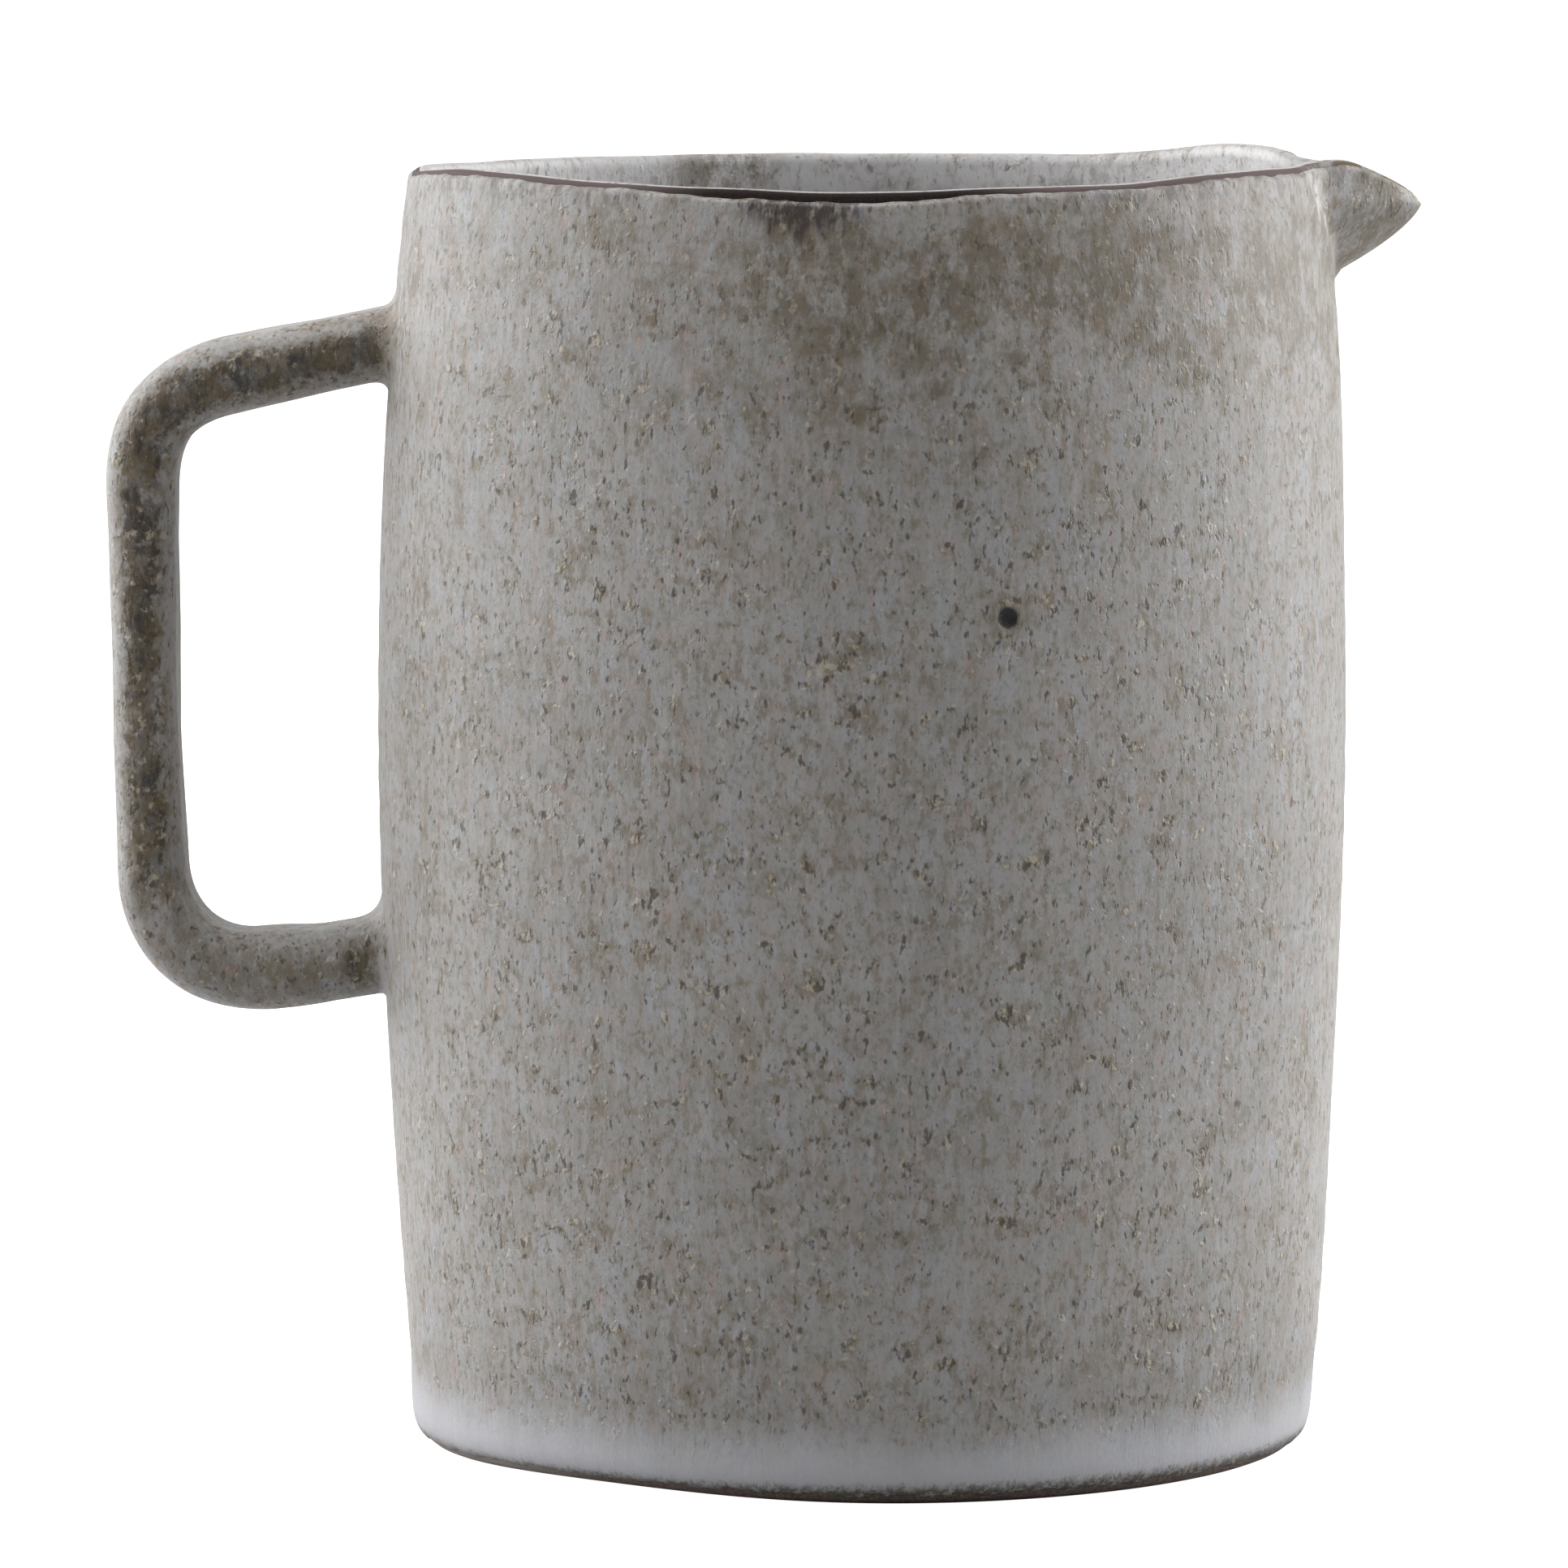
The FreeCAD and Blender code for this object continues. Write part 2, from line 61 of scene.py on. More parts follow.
class Nodes:
    """Adds nodes to a tree and joins them; a plain number or vector is set on its socket."""

    def __init__(self, tree):
        self.tree = tree

    def put(self, kind, *values, **settings):
        """A new node; values go to its first sockets, and in_Name to the socket of that name."""
        node = self.tree.nodes.new(kind)
        for name, value in settings.items():
            if not name.startswith("in_"):
                setattr(node, name, value)
        for socket, value in zip(node.inputs, values):
            self.feed(socket, value)
        for name, value in settings.items():
            if name.startswith("in_"):
                self.feed(node.inputs[name[3:].replace("_", " ")], value)
        return node

    def feed(self, socket, value):
        if isinstance(value, bpy.types.NodeSocket):
            self.tree.links.new(value, socket)
        elif socket.type == "RGBA":
            socket.default_value = (*value, 1.0)
        else:
            socket.default_value = value

    def math(self, operation, first, second=0.0, third=0.0, clamp=False):
        node = self.put("ShaderNodeMath", first, second, third, operation=operation, use_clamp=clamp)
        return node.outputs[0]

    def vector(self, operation, first, second):
        """A sum, product or difference of two vectors, or a vector times a number."""
        node = self.put("ShaderNodeVectorMath", first, operation=operation)
        self.feed(node.inputs["Scale" if operation == "SCALE" else 1], second)
        return node.outputs[0]

    def split(self, place):
        return self.put("ShaderNodeSeparateXYZ", place).outputs

    def millimetres(self):
        """The place of the shaded point, in millimetres from the middle of the foot."""
        return self.vector("SCALE", self.put("ShaderNodeTexCoord").outputs["Object"], 1000.0)

    def distance(self, place, centre):
        return self.put("ShaderNodeVectorMath", place, centre, operation="DISTANCE").outputs["Value"]

    def eased(self, value, stops):
        """A grey that eases between levels, each given with its position along value."""
        node = self.put("ShaderNodeValToRGB", value)
        node.color_ramp.interpolation = "EASE"
        marks = node.color_ramp.elements
        marks.remove(marks[-1])
        marks[0].position = stops[0][0]
        for position, _ in stops[1:]:
            marks.new(position)
        for mark, (_, level) in zip(marks, stops):
            mark.color = (level, level, level, 1.0)
        return node.outputs["Color"]

    def ramp(self, value, low, high, to_low=0.0, to_high=1.0):
        """A smooth step of value between low and high."""
        ends = (value, low, high, to_low, to_high)
        return self.put("ShaderNodeMapRange", *ends, interpolation_type="SMOOTHSTEP").outputs[0]

    def noise(self, place, stretch, detail=2.0, roughness=0.5, seed=0.0):
        """Noise with features about one unit long once place is multiplied by stretch."""
        moved = self.vector("MULTIPLY", place, stretch)
        moved = self.vector("ADD", moved, (seed, seed * 1.7, seed * 2.3))
        texture = self.put("ShaderNodeTexNoise", in_Scale=1.0, in_Detail=detail, in_Roughness=roughness)
        self.feed(texture.inputs["Vector"], moved)
        return texture.outputs["Fac"]

    def mix(self, share, first, second):
        """Two colours mixed by share."""
        node = self.put("ShaderNodeMix", share, data_type="RGBA")
        self.feed(node.inputs[6], first)
        self.feed(node.inputs[7], second)
        return node.outputs[2]

    def all_of(self, *masks):
        result = masks[0]
        for mask in masks[1:]:
            result = self.math("MULTIPLY", result, mask)
        return result


def new_material(name):
    """A material, its nodes and its shader."""
    material = bpy.data.materials.new(name)
    material.use_nodes = True
    return material, Nodes(material.node_tree), material.node_tree.nodes["Principled BSDF"]


table_paint, paint, shader = new_material("table_paint")
paint.feed(shader.inputs["Base Color"], (0.45, 0.45, 0.45))
shader.inputs["Roughness"].default_value = 1.0
shader.inputs["Specular IOR Level"].default_value = 0.0
paint.feed(shader.inputs["Emission Color"], (1.0, 1.0, 1.0))
sideways, back, _ = paint.split(paint.put("ShaderNodeTexCoord").outputs["Object"])
beside = paint.eased(paint.math("ABSOLUTE", sideways), ((0.06, 0.0), (0.09, 1.0), (0.30, 0.0)))
glow = paint.math("MULTIPLY", beside, paint.math("MULTIPLY_ADD", back, 14.0, 0.3, clamp=True))
seen = paint.put("ShaderNodeLightPath").outputs["Is Camera Ray"]
paint.feed(shader.inputs["Emission Strength"], paint.math("MAXIMUM", glow, seen))

corners = [(TABLE_HALF * x, TABLE_HALF * y, 0) for x, y in ((-1, -1), (1, -1), (1, 1), (-1, 1))]
table_mesh = bpy.data.meshes.new("table")
table_mesh.from_pydata(corners, [], [(0, 1, 2, 3)])
table_mesh.materials.append(table_paint)
table = bpy.data.objects.new("table", table_mesh)
bpy.context.collection.objects.link(table)


def soft_light(name, place, target, wide, tall, watts):
    """A large rectangular light at place, turned to target."""
    lamp = bpy.data.lights.new(name, "AREA")
    lamp.shape = "RECTANGLE"
    lamp.size, lamp.size_y, lamp.energy = wide, tall, watts
    light = bpy.data.objects.new(name, lamp)
    light.location = place
    light.rotation_euler = (Vector(target) - Vector(place)).to_track_quat("-Z", "Y").to_euler()
    bpy.context.collection.objects.link(light)


soft_light("left_light", (-1.1, 0.34, 0.42), (0, 0, 0.08), wide=1.5, tall=1.2, watts=24.0)
soft_light("right_light", (1.1, 0.36, 0.36), (0, 0, 0.08), wide=1.0, tall=1.1, watts=21.0)
soft_light("overhead_light", (-0.15, -0.10, 1.25), (0, 0, 0.1), wide=1.0, tall=1.0, watts=8.5)

room = bpy.data.worlds.new("room")
room.use_nodes = True
walls = Nodes(room.node_tree)
_, back, up = walls.split(walls.put("ShaderNodeTexCoord").outputs["Generated"])
brightness = walls.math("MULTIPLY_ADD", up, 0.36, walls.math("MULTIPLY_ADD", back, 0.5, 0.5))
background = room.node_tree.nodes["Background"]
walls.feed(background.inputs["Color"], walls.eased(brightness, ((0.15, 0.03), (0.60, 1.0))))
background.inputs["Strength"].default_value = 1.0
scene.world = room

# ---------------------------------------------------------------------------------------------
# The wall: thrown stoneware, a barrel 160 mm tall with a turned heel.  Its surfaces are radii
# for an angle and a level, in millimetres; angle 0 points at the spout and half a turn at the
# handle.  The clay is bare at the lip's outer edge and under the heel.
# ---------------------------------------------------------------------------------------------
FULL_TURN = 2 * math.pi
MM = 0.001
GLAZE = 0.5
WIDEST, WIDEST_LEVEL, DRAWN_IN = 60.0, 88.0, 4.0
HEEL_ROUND = 3.9
LIP_MIDDLE, LIP_CLAY = 158.35, 157.8
LIP_ROUND, LIP_ROUND_INSIDE = 1.0, 0.7
LEAN_START = 128.0
FLOOR_EDGE, FLOOR_TOP, COVE = 44.0, 5.6, 7.0
BEAK_HALF, BEAK_NOSE, CHANNEL_NOSE = np.radians([37.0, 2.2, 4.0])
BEAK_REACH, BEAK_LEVEL, BEAK_START = 69.75, 155.0, 143.0
BEAK_THICK = 4.7
# The lip's rises and dips: height in millimetres, then place and breadth in degrees.
LIP_WAVES = (
    (1.35, 0, 28), (1.8, 30, 19), (-1.0, 9, 7), (0.85, -38, 17), (0.55, -8, 7),
    (1.2, -148, 20), (0.4, 178, 16), (-0.55, -92, 12), (-0.2, -57, 6),
)
# An iron spot in the glaze, where the wall's radius is SPOT_WALL; the mesh is fine round it.
SPOT_ANGLE, SPOT_LEVEL, SPOT_RADIUS = math.radians(-73.4), 107.4, 1.15
SPOT_WALL, SPOT_EDGE = 59.5, 2.6
# Columns of the mesh that the spout's crease follows, and up to which the others are drawn in.
CREASE_DEGREES, SIDE_DEGREES = 12, 42
CREASE_COLUMN, SIDE_COLUMN = math.radians(CREASE_DEGREES), math.radians(SIDE_DEGREES)


def step(low, high, value):
    """0 at low, 1 at high, smooth between."""
    share = np.clip((value - low) / (high - low), 0.0, 1.0)
    return share * share * (3 - 2 * share)


def hill(value, centre, width):
    return np.exp(-(((value - centre) / width) ** 2))


def larger(first, second, blend):
    """The larger of two radii, with the corner between them rounded."""
    return 0.5 * (first + second + np.sqrt((first - second) ** 2 + blend**2))


def wrapped(angle):
    return np.arctan2(np.sin(angle), np.cos(angle))


def barrel_radius(angle, level):
    """Outside of the barrel, widest at 88 mm and a little fuller on the spout's side."""
    below = np.clip(WIDEST_LEVEL - np.maximum(level, 10), 0, None) / 80
    above = np.clip(level - WIDEST_LEVEL, 0, None) / 70
    radius = WIDEST - DRAWN_IN * below**1.7 - DRAWN_IN * above**2.2
    fuller = 0.3 + 0.8 * step(105, 145, level) + 0.4 * step(50, 15, level) * step(2, 14, level)
    heel = HEEL_ROUND * np.exp(-((np.maximum(level, 0) / 1.06) ** 0.84))
    radius = radius + fuller * 0.5 * (1 + np.cos(angle)) - heel
    uneven = 0.07 * np.sin(3 * angle + 1.1 + level / 60) + 0.05 * np.sin(5 * angle - level / 31)
    thrown = np.sin(level * FULL_TURN / 6.3 + 0.8 * np.sin(angle))
    thrown = thrown * (0.6 + 0.4 * np.sin(level / 11))
    return radius + (uneven + 0.04 * thrown) * step(4, 16, level)


def beak_tip(level):
    """How far the spout reaches at a level."""
    return BEAK_REACH - 0.31 * np.clip(BEAK_LEVEL - level, 0, None) ** 1.6


def beak_radius(angle, level, inset=0.0, nose=BEAK_NOSE):
    """The spout in plan: a V with a rounded point, seen from the pot's axis."""
    turn = np.minimum(np.sqrt(wrapped(angle) ** 2 + nose**2), math.pi / 2 - BEAK_HALF)
    point = (beak_tip(level) - inset) * math.sin(nose + BEAK_HALF) / math.sin(BEAK_HALF)
    blunt = 0.75 * hill(wrapped(angle), 0, 0.05) * np.clip((level - 153.9) / 0.9, 0, 1.3) ** 2
    return (point - blunt) * math.sin(BEAK_HALF) / np.sin(turn + BEAK_HALF)


def crease(level):
    """Half the angle that the spout takes up on the barrel."""
    point = beak_tip(level) * math.sin(BEAK_NOSE + BEAK_HALF)
    turn = np.arcsin(np.clip(point / barrel_radius(0.15, level), 0, 1)) - BEAK_HALF
    return np.clip(turn, math.radians(3), math.radians(14))


def outside(angle, level):
    """Barrel and spout together, with the clay pulled out a little beside the spout."""
    beside = hill(np.abs(wrapped(angle)), crease(level) + 0.05, 0.07) * step(BEAK_START, 151, level)
    return larger(barrel_radius(angle, level) + 0.5 * beside, beak_radius(angle, level), 0.9)


def inside(angle, level):
    """Inner face of the wall and of the spout's channel."""
    thick = 3.0 + 1.5 * step(157, 105, level)
    wall_face = barrel_radius(angle, np.maximum(level, 16)) - thick
    channel = beak_radius(angle, level, BEAK_THICK, CHANNEL_NOSE)
    face = larger(wall_face, channel, 1.0)
    sunk = np.clip((FLOOR_TOP + COVE - level) / COVE, 0, 1)
    return face - COVE * (1 - np.sqrt(1 - sunk**2))


def lip_level(angle):
    """The lip's level: high beside the spout, low in front, and falling along the beak."""
    turn = np.degrees(wrapped(angle))
    level = LIP_MIDDLE + sum(rise * hill(turn, place, breadth) for rise, place, breadth in LIP_WAVES)
    level = level + 0.04 * np.sin(11 * angle + 0.6) + 0.03 * np.sin(23 * angle)
    reach = outside(angle, 156.0) * np.cos(angle) - 61.0
    fall = 0.2 * (reach + np.sqrt(reach**2 + 2)) + 0.008 * np.clip(reach, 0, None) ** 2
    return level - fall * (np.abs(turn) < 60)


def foot_lift(angle, level):
    """The heel's lowest edge, dressed off a little more on one side."""
    return 1.05 * hill(np.degrees(wrapped(angle)), -128, 27) * step(6.0, 0.6, level)


# The columns' angles, close together at the spout and at the iron spot.  Some are left out at the
# back, so that their number divides by four.
at_spout = np.radians(np.linspace(-CREASE_DEGREES, CREASE_DEGREES, 49))
at_side = np.radians(np.linspace(CREASE_DEGREES, SIDE_DEGREES, 31))[1:]
at_back = np.radians(np.linspace(SIDE_DEGREES, 360 - SIDE_DEGREES, 217))[1:-1]
columns = wrapped(np.concatenate([at_spout, at_side, -at_side, at_back]))
columns = columns[np.abs(wrapped(columns - SPOT_ANGLE)) * SPOT_WALL > SPOT_EDGE]
at_spot = SPOT_ANGLE + np.linspace(-2.4, 2.4, 25) / SPOT_WALL
columns = np.sort(np.concatenate([columns, at_spot]))
spare = len(columns) % 4
columns = np.concatenate([columns[: 2 * spare : 2], columns[2 * spare :]])
SPOUT_COLUMNS = np.flatnonzero(np.abs(columns) <= CREASE_COLUMN + 1e-6)


def angles_at(level):
    """The columns' angles at a level, drawn in to the spout's crease."""
    size = np.abs(columns)
    edge = crease(level) + (CREASE_COLUMN - crease(level)) * step(BEAK_START, 130, level)
    share = np.clip((size - CREASE_COLUMN) / (SIDE_COLUMN - CREASE_COLUMN), 0, 1)
    beside = edge + share * (SIDE_COLUMN - edge)
    drawn = np.where(size <= CREASE_COLUMN, size / CREASE_COLUMN * edge, beside)
    return np.sign(columns) * np.where(size < SIDE_COLUMN, drawn, size)


def leaned(level, angle):
    """A level near the top, moved with the lip."""
    share = np.clip((level - LEAN_START) / (LIP_MIDDLE - LEAN_START), 0, 1.2)
    return level + share * (lip_level(angle) - LIP_MIDDLE)


def points(angle, radius, level):
    """One ring of points, in metres."""
    radius, level = radius + 0 * angle, level + 0 * angle
    return np.stack([radius * np.cos(angle), radius * np.sin(angle), level], axis=1) * MM


def new_piece(name, mesh, material, nodes):
    """A finished piece that rides on the pot and stands for its nodes."""
    piece = bpy.data.objects.new(name, mesh)
    bpy.context.collection.objects.link(piece)
    mesh.materials.clear()
    mesh.materials.append(material)
    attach(piece, "root")
    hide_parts(*nodes)
    return piece


def mesh_of(name, vertices, faces, tidy=False):
    """A smooth mesh; tidy drops loose points and turns its faces outward."""
    mesh = bpy.data.meshes.new(name)
    mesh.from_pydata(vertices, [], faces)
    if tidy:
        work = bmesh.new()
        work.from_mesh(mesh)
        loose = [point for point in work.verts if not point.link_faces]
        bmesh.ops.delete(work, geom=loose, context="VERTS")
        bmesh.ops.recalc_face_normals(work, faces=work.faces)
        work.to_mesh(mesh)
        work.free()
    mesh.shade_smooth()
    return mesh


def clay_section():
    """Rings of the bare wall: up the outside, over the lip and down the inside, paired by level."""
    heel = np.array([0.0, 0.06, 0.2, 0.45, 0.8, 1.2, 1.8, 2.6, 3.8, 5.6, 8.0, 12.6])
    belly = np.linspace(16, 140, 14)
    levels = np.concatenate([heel, belly, np.linspace(BEAK_START, 157.2, 22)])
    outer, inner = [], []
    for level in levels:
        angle = angles_at(level)
        height = leaned(level, angle)
        lifted = height + foot_lift(angle, level)
        skin = GLAZE * step(0.3, 1.5, level)
        outer.append(points(angle, outside(angle, height) - skin, lifted))
        back = np.where(height > FLOOR_TOP, inside(angle, height) + GLAZE, FLOOR_EDGE)
        inner.append(points(angle, np.maximum(back, FLOOR_EDGE), height))
    angle = angles_at(158.0)
    top = lip_level(angle) - 0.14
    face, back = outside(angle, LIP_CLAY) - GLAZE, inside(angle, LIP_CLAY) + GLAZE
    for bend in np.radians([12, 30, 48, 66, 84]):
        rise = top - LIP_ROUND * (1 - math.sin(bend))
        outer.append(points(angle, face - LIP_ROUND * (1 - math.cos(bend)), rise))
        inner.append(points(angle, back + LIP_ROUND_INSIDE * (1 - math.cos(bend)), rise))
    crown = points(angle, 0.5 * (face + back - LIP_ROUND + LIP_ROUND_INSIDE), top + 0.03)
    return np.array(outer + [crown] + inner[::-1]), len(heel) + len(belly)


def clay_faces(rings, first_row, of_spout):
    """Faces of the wall without the spout's part, or of the spout's part, both closed."""
    count, around = rings.shape[:2]
    low, high = SPOUT_COLUMNS[0], SPOUT_COLUMNS[-1]
    row, column = np.meshgrid(np.arange(count - 1), np.arange(around), indexing="ij")
    last = count - 1
    spout_part = (column >= low) & (column < high) & (row >= first_row) & (row < last - first_row)
    chosen = spout_part if of_spout else ~spout_part
    here, column = row[chosen] * around, column[chosen]
    above, after = here + around, (column + 1) % around
    faces = np.stack([here + column, here + after, above + after, above + column], 1).tolist()
    for column in range(low, high):
        ends = [first_row * around, (last - first_row) * around]
        faces.append([ends[0] + column, ends[0] + column + 1, ends[1] + column + 1, ends[1] + column])
    for row in range(first_row, last // 2):
        for column in (low, high):
            quad = [row, row + 1, last - row - 1, last - row]
            quad = quad if row + 1 < last - row - 1 else [row, row + 1, last - row]
            faces.append([number * around + column for number in quad])
    if not of_spout:
        for column in range(around):
            after = (column + 1) % around
            faces.append([last * around + column, last * around + after, after, column])
    return faces


# The clay's colours: under the foot, with painted light making it paler on the left where the left
# lamp falls, then along the lip, where iron has blackened it in front and it is rubbed at the beak.
CLAY_DARK, CLAY_LIGHT = (0.085, 0.062, 0.054), (0.200, 0.155, 0.135)
CLAY_STAIN, CLAY_PAINTED_LIGHT = (0.120, 0.098, 0.090), (0.300, 0.270, 0.255)
IRON_BLACK, IRON_BROWN = (0.004, 0.002, 0.002), (0.019, 0.010, 0.009)
RIM_BROWN = (0.105, 0.078, 0.078)
WORN_GREY, WORN_OLIVE, WORN_BROWN = (0.250, 0.240, 0.225), (0.110, 0.085, 0.055), (0.070, 0.052, 0.040)
bare_clay, paint, shader = new_material("bare_clay")
place = paint.millimetres()
along, _, height = paint.split(place)
grain = paint.noise(place, (2.2, 2.2, 2.2), 4.0, 0.65)
patches = paint.noise(place, (0.25, 0.25, 0.25), 2.0, 0.5, 4.0)
clay = paint.mix(paint.ramp(grain, 0.3, 0.7), CLAY_DARK, CLAY_LIGHT)
clay = paint.mix(paint.ramp(patches, 0.4, 0.65, 0.0, 0.5), clay, CLAY_STAIN)
# Painted light: the foot's clay is painted paler towards the left, the side the left lamp lights.
clay = paint.mix(paint.ramp(along, -28.0, -44.0, 0.0, 0.65), clay, CLAY_PAINTED_LIGHT)
rim = paint.mix(paint.ramp(grain, 0.35, 0.7), IRON_BLACK, IRON_BROWN)
from_front = paint.math("ABSOLUTE", paint.math("ADD", along, 3.0))
rim = paint.mix(paint.ramp(from_front, 14.0, 27.0, 0.0, 0.75), rim, RIM_BROWN)
worn = paint.mix(paint.ramp(patches, 0.42, 0.56), WORN_GREY, WORN_OLIVE)
worn = paint.mix(paint.ramp(grain, 0.5, 0.7, 0.0, 0.7), worn, WORN_BROWN)
rim = paint.mix(paint.ramp(along, 52.0, 58.0), rim, worn)
paint.feed(shader.inputs["Base Color"], paint.mix(paint.ramp(height, 60.0, 100.0), clay, rim))
paint.feed(shader.inputs["Roughness"], paint.ramp(grain, 0.2, 0.8, 0.62, 0.85))
shader.inputs["Specular IOR Level"].default_value = 0.12
bump = paint.put("ShaderNodeBump", in_Strength=0.6, in_Distance=0.00012)
paint.feed(bump.inputs["Height"], grain)
paint.feed(shader.inputs["Normal"], bump.outputs[0])

clay_rings, spout_row = clay_section()
clay_points = clay_rings.reshape(-1, 3).tolist()
wall_mesh = mesh_of("clay_wall", clay_points, clay_faces(clay_rings, spout_row, False), tidy=True)
new_piece("clay_wall", wall_mesh, bare_clay, ["wall"])

# ---------------------------------------------------------------------------------------------
# The spout: a beak of the same clay, pressed out of the rim and drawn to a point, closed against
# the wall along its crease.
# ---------------------------------------------------------------------------------------------
spout_mesh = mesh_of("clay_spout", clay_points, clay_faces(clay_rings, spout_row, True), tidy=True)
new_piece("clay_spout", spout_mesh, bare_clay, ["spout"])

# ---------------------------------------------------------------------------------------------
# The floor: the disc of clay left at the bottom when the wall is thrown.  Its underside is cut
# from the wheel with a twisted wire, which leaves shallow curved ridges, and stays bare.
# ---------------------------------------------------------------------------------------------


def ring_faces(rings, closed):
    """Faces between rings that have the same number of points, four times as many, or one."""
    starts = np.cumsum([0] + [len(ring) for ring in rings])
    faces = []
    for index in range(len(rings) if closed else len(rings) - 1):
        other = (index + 1) % len(rings)
        low, high, below, above = starts[index], starts[other], len(rings[index]), len(rings[other])
        around = max(below, above)
        here = np.arange(around)
        there = (here + 1) % around
        if below == above:
            faces += np.stack([low + here, low + there, high + there, high + here], 1).tolist()
        elif below == 1:
            faces += np.stack([low + 0 * here, high + there, high + here], 1).tolist()
        elif above == 1:
            faces += np.stack([low + here, low + there, high + 0 * here], 1).tolist()
        else:
            few, many, fan = min(below, above), around, around // min(below, above)
            for number in range(few):
                after = (number + 1) % few
                run = [(number * fan + part) % many for part in range(fan + 1)]
                if above > below:
                    faces.append([low + number, low + after] + [high + part for part in run[::-1]])
                else:
                    faces.append([low + part for part in run] + [high + after, high + number])
    return faces


def ring_mesh(name, rings, closed=False):
    return mesh_of(name, np.concatenate(rings).tolist(), ring_faces(rings, closed))


def axis_point(level):
    return points(np.zeros(1), 0.0, level)


RIDGE_PITCH, RIDGE_DEPTH = 4.2, 0.20
turn = np.linspace(0, FULL_TURN, 192, endpoint=False)
floor_rings = [axis_point(0.0)]
for radius in [*np.linspace(0.8, FLOOR_EDGE - 1.2, 56), FLOOR_EDGE - 0.5, FLOOR_EDGE - 0.1]:
    across, along = radius * np.cos(turn), radius * np.sin(turn)
    ridges = 0.5 + 0.5 * np.sin((across + 0.02 * along**2) * FULL_TURN / RIDGE_PITCH)
    cut = RIDGE_DEPTH * ridges * step(FLOOR_EDGE - 1, FLOOR_EDGE - 7, radius)
    hollow = 0.02 + 0.08 * step(FLOOR_EDGE, 30, radius)
    floor_rings.append(points(turn, radius, hollow + cut))
floor_rings[0][0, 2] = floor_rings[1][:, 2].mean()
for radius, level in ((0.02, 0.3), (0.02, FLOOR_TOP - 0.4), (-0.4, FLOOR_TOP)):
    floor_rings.append(points(turn, FLOOR_EDGE + radius, level))
floor_rings += [points(turn, 30.0, FLOOR_TOP), points(turn, 12.0, FLOOR_TOP), axis_point(FLOOR_TOP)]
floor_mesh = ring_mesh("clay_floor", floor_rings)
new_piece("clay_floor", floor_mesh, bare_clay, ["floor"])

# ---------------------------------------------------------------------------------------------
# The outer glaze: one matte grey coat over wall and spout, half a millimetre thick.  It stops in
# a jagged edge above the foot and thins away below the lip, and an iron spot has pitted it.
# ---------------------------------------------------------------------------------------------


ASH_GREY, PALE_GREY = (0.224, 0.218, 0.210), (0.268, 0.260, 0.250)
BLUE_GREY, WARM_GREY = (0.262, 0.270, 0.286), (0.202, 0.180, 0.158)
GREEN_GREY, PINK_GREY = (0.188, 0.206, 0.184), (0.280, 0.222, 0.202)
STREAK, DARK_GRAIN, LIGHT_GRAIN = (0.330, 0.330, 0.340), (0.150, 0.134, 0.114), (0.335, 0.330, 0.325)
PAINTED_LIGHT_WHITE, BAND_WHITE = (0.56, 0.555, 0.56), (0.425, 0.430, 0.468)
THIN_BROWN, BURNT, RUST = (0.104, 0.078, 0.043), (0.011, 0.008, 0.006), (0.062, 0.042, 0.016)
OLIVE_SPECK, CREAM_SPECK = (0.128, 0.094, 0.050), (0.43, 0.385, 0.30)
DARK_SPECK, EDGE_SPECK = (0.038, 0.028, 0.018), (0.050, 0.043, 0.030)
DRIP_BROWN, HALO, IRON_PIT = (0.028, 0.018, 0.015), (0.10, 0.085, 0.05), (0.006, 0.005, 0.005)
INNER_PATCH = (-18.0, 51.0, 154.0)


